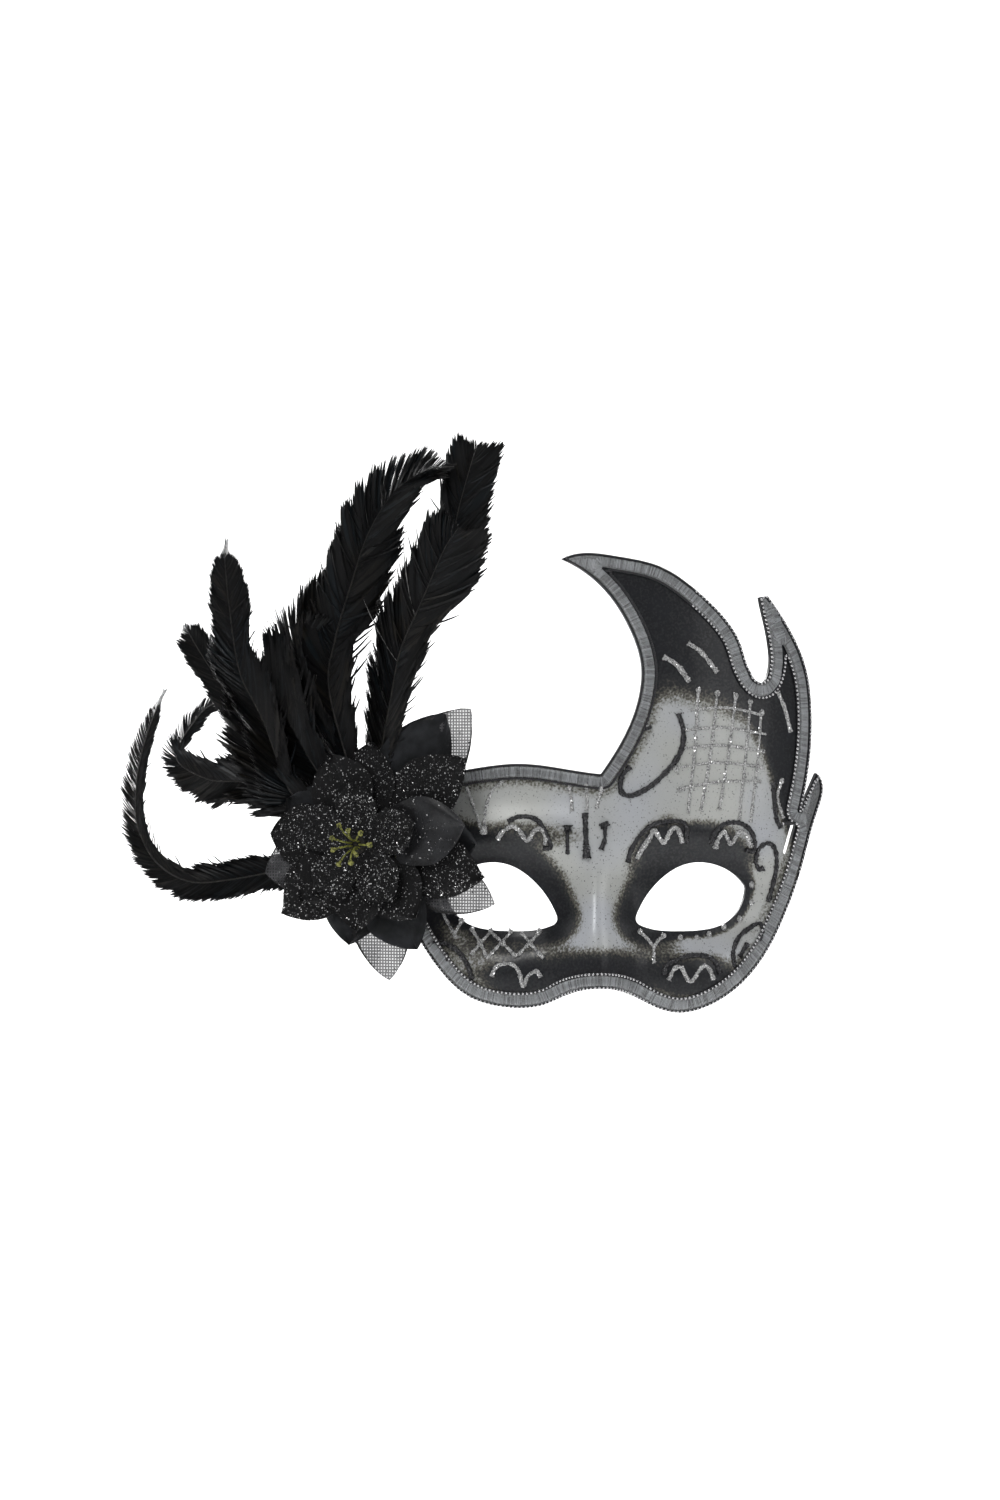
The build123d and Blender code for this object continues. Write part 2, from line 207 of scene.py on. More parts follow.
def area_light(name, place, target, size, watts):
    """A square soft box that faces its target."""
    light = bpy.data.objects.new(name, bpy.data.lights.new(name, "AREA"))
    light.data.size = size
    light.data.energy = watts
    light.location = place
    light.rotation_euler = (Vector(target) - Vector(place)).to_track_quat("-Z", "Y").to_euler()
    bpy.context.scene.collection.objects.link(light)


FACE = (0, 0, 0.03)
area_light("key", (-0.8, -1.3, 1.2), FACE, 0.7, 9)
area_light("fill", (1.3, -1.0, 0.5), FACE, 0.9, 3)
area_light("top", (0.1, 0.2, 1.4), FACE, 0.8, 5)
area_light("left_rim", (-1.3, 0.5, 0.5), FACE, 0.6, 1.5)
area_light("backdrop_left", (-1.5, 1.7, 1.1), (-0.2, 2.45, 0.1), 1.0, 55)
area_light("backdrop_right", (1.5, 1.7, 1.1), (0.2, 2.45, 0.1), 1.0, 55)
world = bpy.data.worlds.new("studio")
bpy.context.scene.world = world
world.use_nodes = True
world.node_tree.nodes["Background"].inputs["Color"].default_value = (0.96, 0.97, 1.0, 1)
world.node_tree.nodes["Background"].inputs["Strength"].default_value = 0.22
bpy.context.scene.view_settings.view_transform = "Standard"


def link(name, mesh):
    """Puts a mesh or curve in the scene as an object at the origin."""
    piece = bpy.data.objects.new(name, mesh)
    bpy.context.scene.collection.objects.link(piece)
    return piece


def mesh_object(name, points, faces, finish=None, smooth=True):
    """An object from points in metres and faces."""
    mesh = bpy.data.meshes.new(name)
    mesh.from_pydata(points, [], faces)
    if smooth:
        mesh.shade_smooth()
    if finish:
        mesh.materials.append(finish.material)
    return link(name, mesh)


backdrop = Finish("backdrop_paper", roughness=0.9)
backdrop.set("Base Color", (0.92, 0.92, 0.92, 1))
FLOOR_LEVEL, SWEEP_START, SWEEP_RADIUS = -0.34, 1.9, 0.5  # its wall is further out than the camera goes
profile = [(-3.0, FLOOR_LEVEL), (SWEEP_START, FLOOR_LEVEL)]
for step in range(1, 13):
    turn = pi / 2 * step / 12
    profile.append((SWEEP_START + SWEEP_RADIUS * sin(turn), FLOOR_LEVEL + SWEEP_RADIUS * (1 - cos(turn))))
profile.append((SWEEP_START + SWEEP_RADIUS, 3.0))
sweep_points = [(x, y, z) for y, z in profile for x in (-4, 4)]
sweep_faces = [(2 * i, 2 * i + 1, 2 * i + 3, 2 * i + 2) for i in range(len(profile) - 1)]
mesh_object("backdrop", sweep_points, sweep_faces, backdrop)
print("lens", round(camera.data.lens, 1), "mm")

# %% [markdown]
# The shell's outline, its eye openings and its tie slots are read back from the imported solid, as the loops
# where
# its front skin meets its walls. A moulding shows every uneven triangle as a ripple in its gloss, so the
# skin is
# meshed afresh: evenly spaced points inside those loops, joined by a Delaunay triangulation, then laid on the
# packed skin by rays. Solidify gives it back its wall, and a small bevel its softened edges.

# %% Read the loops of a packed strip or shell
def merged(node):
    """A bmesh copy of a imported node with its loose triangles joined."""
    mesh = bmesh.new()
    mesh.from_mesh(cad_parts[node].data)
    bmesh.ops.remove_doubles(mesh, verts=mesh.verts, dist=0.002 * MM)
    bmesh.ops.dissolve_degenerate(mesh, edges=mesh.edges, dist=0.004 * MM)
    return mesh


def skin_loops(node, wall_tilt=0.35):
    """Closed chains of points where the node's front skin meets its fore-and-aft walls, longest first."""
    mesh = merged(node)
    kind = {}
    for face in mesh.faces:
        kind[face] = "wall" if abs(face.normal.y) < wall_tilt else "front" if face.normal.y < 0 else "back"
    following = {}
    for edge in mesh.edges:
        kinds = {kind[face] for face in edge.link_faces}
        if kinds == {"wall", "front"}:
            a, b = edge.verts
            following.setdefault(a, []).append(b)
            following.setdefault(b, []).append(a)
    loops = []
    unused = dict.fromkeys(following)
    while unused:
        start = next(iter(unused))
        loop, here = [], start
        while here is not None:
            loop.append(here.co.copy())
            unused.pop(here)
            here = next((v for v in following[here] if v in unused), None)
        loops.append(loop)
    mesh.free()
    loops.sort(key=loop_length, reverse=True)
    return loops


def loop_length(loop):
    return sum((a - b).length for a, b in zip(loop, loop[1:] + loop[:1]))


def evened(loop, spacing):
    """The loop with points about spacing apart, its sharp corners kept."""
    corners = []
    for i, point in enumerate(loop):
        before, after = point - loop[i - 1], loop[(i + 1) % len(loop)] - point
        if before.length and after.length and before.angle(after) > radians(25):
            corners.append(i)
    corners = corners or [0]
    result = []
    for start, end in zip(corners, corners[1:] + [corners[0] + len(loop)]):
        stretch = [loop[i % len(loop)] for i in range(start, end + 1)]
        result += walk(stretch, spacing)[:-1]
    return result


def walk(points, spacing):
    """Evenly spaced points along an open chain, both ends included."""
    lengths = [0.0]
    for a, b in zip(points, points[1:]):
        lengths.append(lengths[-1] + (b - a).length)
    count = max(1, round(lengths[-1] / spacing))
    result, i = [], 0
    for step in range(count + 1):
        target = lengths[-1] * step / count
        while i < len(points) - 2 and lengths[i + 1] < target:
            i += 1
        span = lengths[i + 1] - lengths[i]
        result.append(points[i].lerp(points[i + 1], (target - lengths[i]) / span if span else 0))
    return result


shell_loops = skin_loops("shell")
print("shell loops", [round(loop_length(loop) / MM) for loop in shell_loops], "mm")

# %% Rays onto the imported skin
shell_copy = merged("shell")
shell_tree = BVHTree.FromBMesh(shell_copy)
shell_copy.free()
FRONT = Vector((0, 1, 0))  # from in front of the face towards it


def on_skin(x, z, lift=0.0):
    """The skin's point at x, z in millimetres, lifted along its normal, and that normal."""
    point, normal, _, _ = shell_tree.ray_cast(Vector((x * MM, -0.2, z * MM)), FRONT)
    if point is None:
        point, normal, _, _ = shell_tree.find_nearest(Vector((x * MM, 0.02, z * MM)))
    if normal.y > 0:
        normal = -normal
    return point + normal * lift * MM, normal


# %% Mesh the shell's skin
SKIN_SPACING = 1.15 * MM
WALL = 1.3 * MM


def skin_mesh(loops):
    """Even triangles inside the longest loop and outside the others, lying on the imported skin."""
    borders = [evened(loop, SKIN_SPACING) for loop in loops]
    points = [p for border in borders for p in border]
    edges, first = [], 0
    for border in borders:
        edges += [(first + i, first + (i + 1) % len(border)) for i in range(len(border))]
        first += len(border)
    near = KDTree(len(points))
    for i, p in enumerate(points):
        near.insert((p.x, 0, p.z), i)
    near.balance()
    low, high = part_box("shell")
    rows = int((high[2] - low[2]) / (SKIN_SPACING * 0.866))
    columns = int((high[0] - low[0]) / SKIN_SPACING)
    for row in range(rows + 1):
        for column in range(columns + 1):
            x = low[0] + SKIN_SPACING * (column + 0.5 * (row % 2))
            z = low[2] + SKIN_SPACING * 0.866 * row
            if near.find((x, 0, z))[2] < 0.6 * SKIN_SPACING:
                continue
            hit = shell_tree.ray_cast(Vector((x, -0.2, z)), FRONT)
            if hit[0] is not None and abs(hit[1].y) > 0.05:
                points.append(hit[0])
    flat = [(p.x, p.z) for p in points]
    flat, _, triangles, origins, _, _ = delaunay_2d_cdt(flat, edges, [], 0, 1e-7)
    laid = [points[origin[0]] if origin else on_skin(p.x / MM, p.y / MM)[0] for p,
            origin in zip(flat, origins)]
    kept = []
    for triangle in triangles:
        x = sum(flat[i][0] for i in triangle) / 3
        z = sum(flat[i][1] for i in triangle) / 3
        hit = shell_tree.ray_cast(Vector((x, -0.2, z)), FRONT)
        if hit[0] is not None and hit[1].y < -0.05:
            kept.append(triangle)
    return laid, kept


skin_points, skin_faces = skin_mesh(shell_loops)
print("skin", len(skin_points), "points", len(skin_faces), "triangles")

# %% [markdown]
# The paint is airbrushed: black mist over pearl white, dense by the eyes, under the nose and on the horns,
# and
# thinning to specks. How dense it lies at each point is worked out here and stored on the mesh as an
# attribute;
# the finish turns it into fine droplets. Distances are in millimetres.

# %% How dense the black mist lies
def fade(value, full, none):
    """1 at full, 0 at none, smooth between."""
    t = min(1.0, max(0.0, (value - none) / (full - none)))
    return t * t * (3 - 2 * t)


def loop_tree(loop):
    tree = KDTree(len(loop))
    for i, p in enumerate(loop):
        tree.insert((p.x / MM, 0, p.z / MM), i)
    tree.balance()
    return tree


def is_eye(loop):
    return 80 < loop_length(loop) / MM < 200


eye_trees = {}
for loop in shell_loops:
    if is_eye(loop):
        side = 1 if sum(p.x for p in loop) > 0 else -1
        eye_trees[side] = loop_tree(loop)
edge_tree = loop_tree(shell_loops[0])
EYE_X = 34.0

# Patches of mist: (x, z, half length, half width, turn in degrees, density)
PATCHES = [
    (1, -26.5, 23, 7.0, 0, 1.0), (-28.3, -28.5, 12, 6.5, 0, 1.0), (34.5, -28.6, 14, 6.5, 4, 1.0),
    (54, -24, 7, 4, 60, 0.35),
    (-31.7, -16.5, 17, 5, 0, 0.62), (-54, -3, 10, 5, -45, 1.0), (-63, -10, 12, 7, -50, 0.8),
    (20.9, -16.5, 9, 4.5, -20, 0.5),
    (-47, -24, 7, 7, 0, 0.3),
    (-30, 22, 20, 4.5, 0, 0.6), (-55, 19.5, 13, 8, 0, 1.0), (-72, 22, 10, 18, 0, 0.9),
    (20, 19.5, 10, 5, 48, 0.75), (35.4, 21.6, 12, 5, 4, 0.95), (49.5, 17, 9, 4.5, -30, 0.75),
]
# Where the black of the horns ends, as (x, z) from left to right
HORN_BORDER = [(-40, 78), (22, 78), (34, 76), (45, 73), (54, 68), (60, 57), (65, 42), (69, 30), (76, 14),
               (90, 0)]


def horn_border(x):
    """Height where the horns' black begins, at x."""
    for (x0, z0), (x1, z1) in zip(HORN_BORDER, HORN_BORDER[1:]):
        if x <= x1:
            return z0 + (z1 - z0) * (x - x0) / (x1 - x0)
    return z1


def mist(x, z):
    """Density of the black mist at a point of the face, from 0 to 1."""
    side = 1 if x > 0 else -1
    gap = eye_trees[side].find((x, 0, z))[2]
    turn = atan2(z, EYE_X - side * x)  # 0 towards the nose, a right angle straight up
    above, inner = max(0.0, sin(turn)) ** 1.3, max(0.0, cos(turn)) ** 2
    reach = 0.9 + 4.8 * above + 2.6 * inner
    clear = 1 - fade(gap, reach, reach + 3.2 + 4.0 * above + 5.0 * inner)
    for x0, z0, long, wide, turn, density in PATCHES:
        a = radians(turn)
        along = ((x - x0) * cos(a) + (z - z0) * sin(a)) / long
        across = ((z - z0) * cos(a) - (x - x0) * sin(a)) / wide
        clear *= 1 - density * fade(hypot(along, across), 0.4, 1.7)
    clear *= 1 - fade(z - horn_border(x), 7, -13)
    clear *= 1 - 0.35 * fade(edge_tree.find((x, 0, z))[2], 6, 11) * fade(z, -8, -20)
    return 1 - clear


# %% Shell paint
pearl = Finish("pearl_paint", roughness=0.3, Coat_Weight=0.25, Coat_Roughness=0.15, Specular_IOR_Level=0.35)
density = pearl.add("ShaderNodeAttribute", output="Fac", attribute_name="mist")
droplets = pearl.noise(1.15, 4.0).soft_step(0.28, 0.72)
coarse = pearl.noise(0.14, 3.0)
misty = density.soft_step(0.0, 0.3)
spray = density + (coarse - 0.5) * 0.2 * misty
haze = spray + (droplets - 0.5) * 0.34 * misty
specks = (pearl.noise(1.5, 2.0) + density * 0.14).soft_step(0.65, 0.69)
cool = pearl.mix(pearl.noise(0.03, 1.0).soft_step(0.35, 0.65), (0.59, 0.60, 0.57), (0.60, 0.62, 0.65))
thin = pearl.mix(haze.soft_step(0.05, 0.5), cool, (0.185, 0.175, 0.14))
dense = pearl.mix(haze.soft_step(0.28, 0.75), thin, (0.026, 0.027, 0.030))
full = pearl.mix(haze.soft_step(0.8, 1.05), dense,
                 pearl.mix(coarse, (0.006, 0.006, 0.007), (0.016, 0.018, 0.023)))
pearl.set("Base Color", pearl.mix(specks * 0.8 * (1.0 - haze.soft_step(0.3, 0.8)), full, (0.03, 0.03, 0.03)))
pearl.set("Roughness", 0.27 + droplets * 0.12 + spray * 0.06)
pearl.set("Metallic", 0.1 - spray * 0.08)
pearl.bump(droplets + coarse * 2.0, 0.03, 0.3)

inside = Finish("bare_plastic", roughness=0.5, Specular_IOR_Level=0.4)
flow = inside.noise(0.12, 4.0)
inside.set("Base Color", inside.mix(flow, (0.70, 0.69, 0.66), (0.78, 0.77, 0.75)))
inside.set("Roughness", 0.45 + flow * 0.15)
inside.bump(inside.noise(1.4, 3.0), 0.05, 0.4)

skin = mesh_object("shell_skin", skin_points, skin_faces, pearl)
skin.data.materials.append(inside.material)
mesh = bmesh.new()
mesh.from_mesh(skin.data)
for face in mesh.faces:
    if face.normal.y > 0:
        face.normal_flip()
mesh.to_mesh(skin.data)
mesh.free()
mist_values = [mist(v.co.x / MM, v.co.z / MM) for v in skin.data.vertices]
skin.data.attributes.new("mist", "FLOAT", "POINT").data.foreach_set("value", mist_values)
wall = skin.modifiers.new("wall", "SOLIDIFY")
wall.thickness = WALL
wall.offset = -1
wall.use_even_offset = True
wall.material_offset = 1
wall.material_offset_rim = 0
softened = skin.modifiers.new("softened", "BEVEL")
softened.width = 0.28 * MM
softened.segments = 2
softened.limit_method = "ANGLE"
softened.angle_limit = radians(50)
softened.harden_normals = False


def settled(piece):
    """Turns an object's modifiers into plain mesh, and removes them."""
    graph = bpy.context.evaluated_depsgraph_get()
    mesh = bpy.data.meshes.new_from_object(piece.evaluated_get(graph))
    piece.modifiers.clear()
    old, piece.data = piece.data, mesh
    (bpy.data.meshes if isinstance(old, bpy.types.Mesh) else bpy.data.curves).remove(old)
    return piece


settled(skin)
skin.data.set_sharp_from_angle(angle=radians(40))
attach(skin, "mask")
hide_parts("shell")
print("shell", len(skin.data.polygons), "faces")

# %% [markdown]
# Braid, glitter and barbs are all the same idea: many small things set along a line. A Geometry Nodes tree
# does
# that from a chain of edges: it makes the chain a curve, spaces it evenly, and sets a small piece at each
# point,
# square to the line and to the skin. The skin's direction travels with the chain as an attribute.

# %% Trees that set things along a line
def geo_tree(name, inputs):
    """A Geometry Nodes tree with the given named inputs, as a graph and its input wires."""
    tree = bpy.data.node_groups.new(name, "GeometryNodeTree")
    for label, kind in {"Geometry": "Geometry", **inputs}.items():
        tree.interface.new_socket(label, in_out="INPUT", socket_type="NodeSocket" + kind)
    tree.interface.new_socket("Geometry", in_out="OUTPUT", socket_type="NodeSocketGeometry")
    graph = Graph(tree)
    source = tree.nodes.new("NodeGroupInput")
    return graph, {socket.name: Wire(graph, socket) for socket in source.outputs if socket.name}


def end_tree(graph, geometry, material):
    """Ends a tree in real geometry with its material."""
    real = graph.add("GeometryNodeRealizeInstances", geometry)
    done = graph.add("GeometryNodeSetMaterial", named={"Geometry": real, "Material": material})
    graph.feed(graph.tree.nodes.new("NodeGroupOutput").inputs["Geometry"], done)
    return graph.tree


def attribute(graph, name, kind="FLOAT"):
    return graph.add("GeometryNodeInputNamedAttribute", data_type=kind, named={"Name": name})


def random_value(graph, low, high, seed, salt):
    """A repeatable random number for each point."""
    numbers = graph.add("FunctionNodeRandomValue", data_type="FLOAT",
                        named={"Min": low, "Max": high, "Seed": seed + salt})
    return numbers


def along_and_up(graph, turn):
    """A rotation with X along the curve and Z along the chain's stored up, turned about that up."""
    up = attribute(graph, "up", "FLOAT_VECTOR")
    upright = graph.add("FunctionNodeAlignRotationToVector", axis="Z", named={"Vector": up})
    tangent = graph.add("GeometryNodeInputTangent")
    facing = graph.add("FunctionNodeAlignRotationToVector", axis="X", pivot_axis="Z",
                       named={"Rotation": upright, "Vector": tangent})
    spin = graph.add("FunctionNodeEulerToRotation", graph.add("ShaderNodeCombineXYZ", 0.0, 0.0, turn))
    return graph.add("FunctionNodeRotateRotation", facing, spin, rotation_space="LOCAL")


def set_along_tree():
    graph, put = geo_tree("set_along", {"Piece": "Object", "Pitch": "Float", "Every": "Int", "Phase": "Int",
                                        "Turn": "Float", "Wobble": "Float", "Seed": "Int",
                                        "Material": "Material"})
    curve = graph.add("GeometryNodeMeshToCurve", put["Geometry"])
    spots = graph.add("GeometryNodeResampleCurve", mode="LENGTH",
                      named={"Curve": curve, "Length": put["Pitch"]})
    place = graph.add("GeometryNodeInputIndex") + put["Phase"]
    chosen = place.maths("MODULO", put["Every"]) < 0.5
    turn = put["Turn"] + put["Wobble"] * random_value(graph, -1.0, 1.0, put["Seed"], 1)
    size = 1.0 + put["Wobble"] * random_value(graph, -1.0, 1.0, put["Seed"], 2)
    shape = graph.add("GeometryNodeObjectInfo", put["Piece"], output="Geometry")
    stretch = graph.add("ShaderNodeCombineXYZ", size, size * attribute(graph, "width"), size)
    pieces = graph.add("GeometryNodeInstanceOnPoints", named={
        "Points": spots, "Selection": chosen, "Instance": shape, "Rotation": along_and_up(graph, turn),
        "Scale": stretch})
    toned = graph.add("GeometryNodeStoreNamedAttribute", data_type="FLOAT", domain="INSTANCE", named={
        "Geometry": pieces, "Name": "tone", "Value": random_value(graph, 0.0, 1.0, put["Seed"], 7)})
    return end_tree(graph, toned, put["Material"])


def tube_tree():
    graph, put = geo_tree("tube", {"Radius": "Float", "Sides": "Int", "Lumps": "Float",
                                   "Material": "Material"})
    curve = graph.add("GeometryNodeMeshToCurve", put["Geometry"])
    spots = graph.add("GeometryNodeResampleCurve", mode="LENGTH", named={"Curve": curve, "Length": 0.3 * MM})
    lumps = graph.add("ShaderNodeTexNoise", output="Fac", named={"Scale": 900.0, "Detail": 1.0})
    radius = put["Radius"] * attribute(graph, "width") * (1.0 + put["Lumps"] * (lumps - 0.5))
    ring = graph.add("GeometryNodeCurvePrimitiveCircle", mode="RADIUS",
                     named={"Resolution": put["Sides"], "Radius": 1.0})
    tube = graph.add("GeometryNodeCurveToMesh",
                     named={"Curve": spots, "Profile Curve": ring, "Scale": radius, "Fill Caps": True})
    smooth = graph.add("GeometryNodeSetShadeSmooth", tube)
    return end_tree(graph, smooth, put["Material"])


def grain_tree():
    graph, put = geo_tree("grains", {"Piece": "Object", "Density": "Float", "Size": "Float",
                                     "Seed": "Int", "Material": "Material"})
    spots = graph.node("GeometryNodeDistributePointsOnFaces", distribute_method="RANDOM",
                       named={"Mesh": put["Geometry"], "Density": put["Density"], "Seed": put["Seed"]})
    tilt = [random_value(graph, -0.9, 0.9, put["Seed"], salt)
            for salt in (3, 4)] + [random_value(graph, 0.0, 6.28, put["Seed"], 5)]
    spin = graph.add("FunctionNodeEulerToRotation", graph.add("ShaderNodeCombineXYZ", *tilt))
    facing = graph.add("FunctionNodeRotateRotation", Wire(graph, spots.outputs["Rotation"]), spin,
                       rotation_space="LOCAL")
    size = put["Size"] * random_value(graph, 0.55, 1.3, put["Seed"], 6)
    shape = graph.add("GeometryNodeObjectInfo", put["Piece"], output="Geometry")
    grains = graph.add("GeometryNodeInstanceOnPoints", named={
        "Points": Wire(graph, spots.outputs["Points"]), "Instance": shape, "Rotation": facing, "Scale": size})
    return end_tree(graph, grains, put["Material"])


SET_ALONG, TUBE, GRAINS = set_along_tree(), tube_tree(), grain_tree()


def chain_object(name, chains, closed=False):
    """An edge chain object from lists of (point, up, width)."""
    points, edges, ups, widths = [], [], [], []
    for chain in chains:
        first = len(points)
        for point, up, width in chain:
            points.append(point)
            ups += list(up)
            widths.append(width)
        last = len(points) - 1
        edges += [(i, i + 1) for i in range(first, last)]
        if closed:
            edges.append((last, first))
    mesh = bpy.data.meshes.new(name)
    mesh.from_pydata(points, edges, [])
    mesh.attributes.new("up", "FLOAT_VECTOR", "POINT").data.foreach_set("vector", ups)
    mesh.attributes.new("width", "FLOAT", "POINT").data.foreach_set("value", widths)
    return link(name, mesh)


def grow(piece, tree, **values):
    """Runs a tree on a piece and keeps the result as plain mesh."""
    modifier = piece.modifiers.new(tree.name, "NODES")
    modifier.node_group = tree
    for item in tree.interface.items_tree:
        if item.in_out == "INPUT" and item.name in values:
            value = values[item.name]
            modifier[item.identifier] = value.material if isinstance(value, Finish) else value
    return settled(piece)


def joined(name, pieces):
    """One object from several, their materials kept."""
    first = pieces[0]
    with bpy.context.temp_override(active_object=first, object=first, selected_objects=pieces,
                                   selected_editable_objects=pieces):
        bpy.ops.object.join()
    first.name = first.data.name = name
    return first


def rides(piece, body, slot, *nodes):
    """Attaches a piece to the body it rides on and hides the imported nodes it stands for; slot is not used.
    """
    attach(piece, body)
    if nodes:
        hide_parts(*nodes)
    print(piece.name, len(piece.data.polygons), "faces")


# %% [markdown]
# The braid is three rows sewn side by side: a beaded cord on the very edge, a flat band with foil ribs across
# it, and a second beaded cord. Each row's middle line is found between the two borders of its packed strip. A
# cord is black twisted thread with a silver bead at every other twist.

# %% Finishes of the braid
foil = Finish("foil_thread", roughness=0.34, Metallic=0.75)
threads = foil.noise(2.6, 2.0)
rib_tone = foil.add("ShaderNodeAttribute", output="Fac", attribute_name="tone")
dull = foil.mix(threads.soft_step(0.35, 0.65), (0.17, 0.17, 0.165), (0.36, 0.37, 0.38))
foil.set("Base Color", foil.mix(rib_tone * 0.75, dull, (0.66, 0.68, 0.70)))
foil.set("Roughness", 0.3 + threads * 0.3)
bead_foil = Finish("bead_foil", roughness=0.25, Metallic=0.9)
bead_foil.set("Base Color", bead_foil.mix(bead_foil.noise(1.1), (0.55, 0.55, 0.56), (0.9, 0.9, 0.9)))
cord_black = Finish("black_thread", roughness=0.55, Sheen_Weight=0.3)
cord_black.set("Base Color", cord_black.mix(cord_black.noise(3.0), (0.008, 0.008, 0.009),
                                            (0.045, 0.045, 0.05)))
cord_black.bump(cord_black.noise(5.0), 0.08, 0.6)

# %% Middle lines and the small pieces set along them
def middle_line(node, lift):
    """The middle line of a packed strip, as a closed chain on the skin."""
    outer, inner = skin_loops(node)[:2]
    tree = KDTree(len(outer))
    for i, p in enumerate(outer):
        tree.insert(p, i)
    tree.balance()
    chain = []
    for p in evened(inner, 0.7 * MM):
        middle = (p + tree.find(p)[0]) / 2
        point, up = on_skin(middle.x / MM, middle.z / MM, lift)
        chain.append((point, up, 1.0))
    return chain


def inside_shell(start, end):
    """Whether the straight line between two points stays over the shell."""
    spots = [start.lerp(end, share) for share in (0.2, 0.4, 0.6, 0.8)]
    return all(shell_tree.ray_cast(Vector((p.x, -0.2, p.z)), FRONT)[0] for p in spots)


def tip_lines(lift):
    """Chains from the band's inner corners to the pointed tips, with the share of a rib that fits there."""
    outer, inner = shell_loops[0], skin_loops("braid_band")[1]
    rim = evened(outer, 0.5 * MM)
    chains = []
    for i, tip in enumerate(outer):
        before, after = tip - outer[i - 1], outer[(i + 1) % len(outer)] - tip
        sharp = before.length * after.length > 0 and before.angle(after) > radians(55)
        starts = [p for p in evened(inner, 1.0 * MM) if sharp and inside_shell(p, tip)]
        near = min(starts, key=lambda p: (p - tip).length, default=tip)
        count = int((near - tip).length / (0.7 * MM))
        chain = []
        for step in range(1, count if count > 9 else 0):
            spot = near.lerp(tip, step / count)
            room = min((p - spot).length for p in rim) / MM - 0.75
            if room > 0.25:
                point, up = on_skin(spot.x / MM, spot.z / MM, lift)
                chain.append((point, up, min(1.3, room / 1.78)))
        if len(chain) > 2:
            chains.append(chain)
    return chains


def runs(chain, gap):
    """A chain cut wherever two neighbours are further apart than gap."""
    result = [[chain[0]]]
    for before, spot in zip(chain, chain[1:]):
        if (spot[0] - before[0]).length > gap:
            result.append([])
        result[-1].append(spot)
    return result


def bulge(name, half_long, half_wide, height, columns, rows, flat_ends):
    """A low mound: round along X, and along Y round or flat with turned-down ends."""
    points, faces = [], []
    for j in range(rows + 1):
        for i in range(columns + 1):
            s, t = 2 * i / columns - 1, 2 * j / rows - 1
            end = 1 - abs(t) ** (6 if flat_ends else 2)
            span = 1 if flat_ends else max(0.05, end) ** 0.5
            rise = height * max(0.0, 1 - s * s) ** 0.5 * max(0.0, end) ** 0.5
            points.append((s * half_long * span * MM, t * half_wide * MM, rise * MM))
    for j in range(rows):
        for i in range(columns):
            a = j * (columns + 1) + i
            faces.append((a, a + 1, a + columns + 2, a + columns + 1))
    return mesh_object(name, points, faces)


def small_ball(name, radii, detail=2):
    """A few-sided ball for beads and pips, with its own radii in millimetres."""
    mesh = bmesh.new()
    bmesh.ops.create_icosphere(mesh, subdivisions=detail, radius=MM)
    bmesh.ops.scale(mesh, vec=radii, verts=mesh.verts)
    data = bpy.data.meshes.new(name)
    mesh.to_mesh(data)
    mesh.free()
    data.shade_smooth()
    return link(name, data)


RIB_PITCH, CORD_PITCH = 0.5, 0.76
rib = bulge("rib", 0.5 * RIB_PITCH, 1.78, 0.34, 4, 6, True)
twist = small_ball("twist", (0.62, 0.36, 0.46), 2)
bead = small_ball("bead", (0.52, 0.5, 0.5), 2)

# %% Sew the braid
band_line = chain_object("braid_ribs", [middle_line("braid_band", 0.62)], closed=True)
ribs = grow(band_line, SET_ALONG, Piece=rib, Pitch=RIB_PITCH * MM, Every=1, Phase=0, Wobble=0.05, Seed=3,
            Material=foil)
tips = tip_lines(0.62)
tip_ribs = grow(chain_object("braid_tip_ribs", tips), SET_ALONG, Piece=rib, Pitch=RIB_PITCH * MM, Every=1,
                Phase=0,
                Wobble=0.05, Seed=4, Material=foil)
rides(joined("braid_ribs", [ribs, tip_ribs]), "mask", "braid_silver")
print("tips", [(len(chain), [round(c / MM) for c in chain[-1][0]]) for chain in tips])
for name, node, lift, seed in (("braid_inner", "braid_inner_cord", 0.55, 11),
                               ("braid_edge", "braid_edge_cord", 0.45, 12)):
    chain = middle_line(node, lift)
    twists = grow(chain_object(name + "_twists", [chain], closed=True), SET_ALONG, Piece=twist,
                  Pitch=CORD_PITCH * MM, Every=1, Phase=0, Turn=radians(38), Wobble=0.06, Seed=seed,
                  Material=cord_black)
    rides(twists, "mask", "braid_cord", node)
    raised = [(point + up * 0.16 * MM, up, width) for point, up,
              width in chain if point.z < -0.002 or point.x > 0.035]
    beads = grow(chain_object(name + "_beads", runs(raised, 3 * MM)), SET_ALONG, Piece=bead,
                 Pitch=CORD_PITCH * MM, Every=2, Phase=0, Turn=radians(38), Wobble=0.12, Seed=seed,
                 Material=bead_foil)
    rides(beads, "mask", "braid_silver")
for helper in (rib, twist, bead):
    bpy.data.objects.remove(helper)
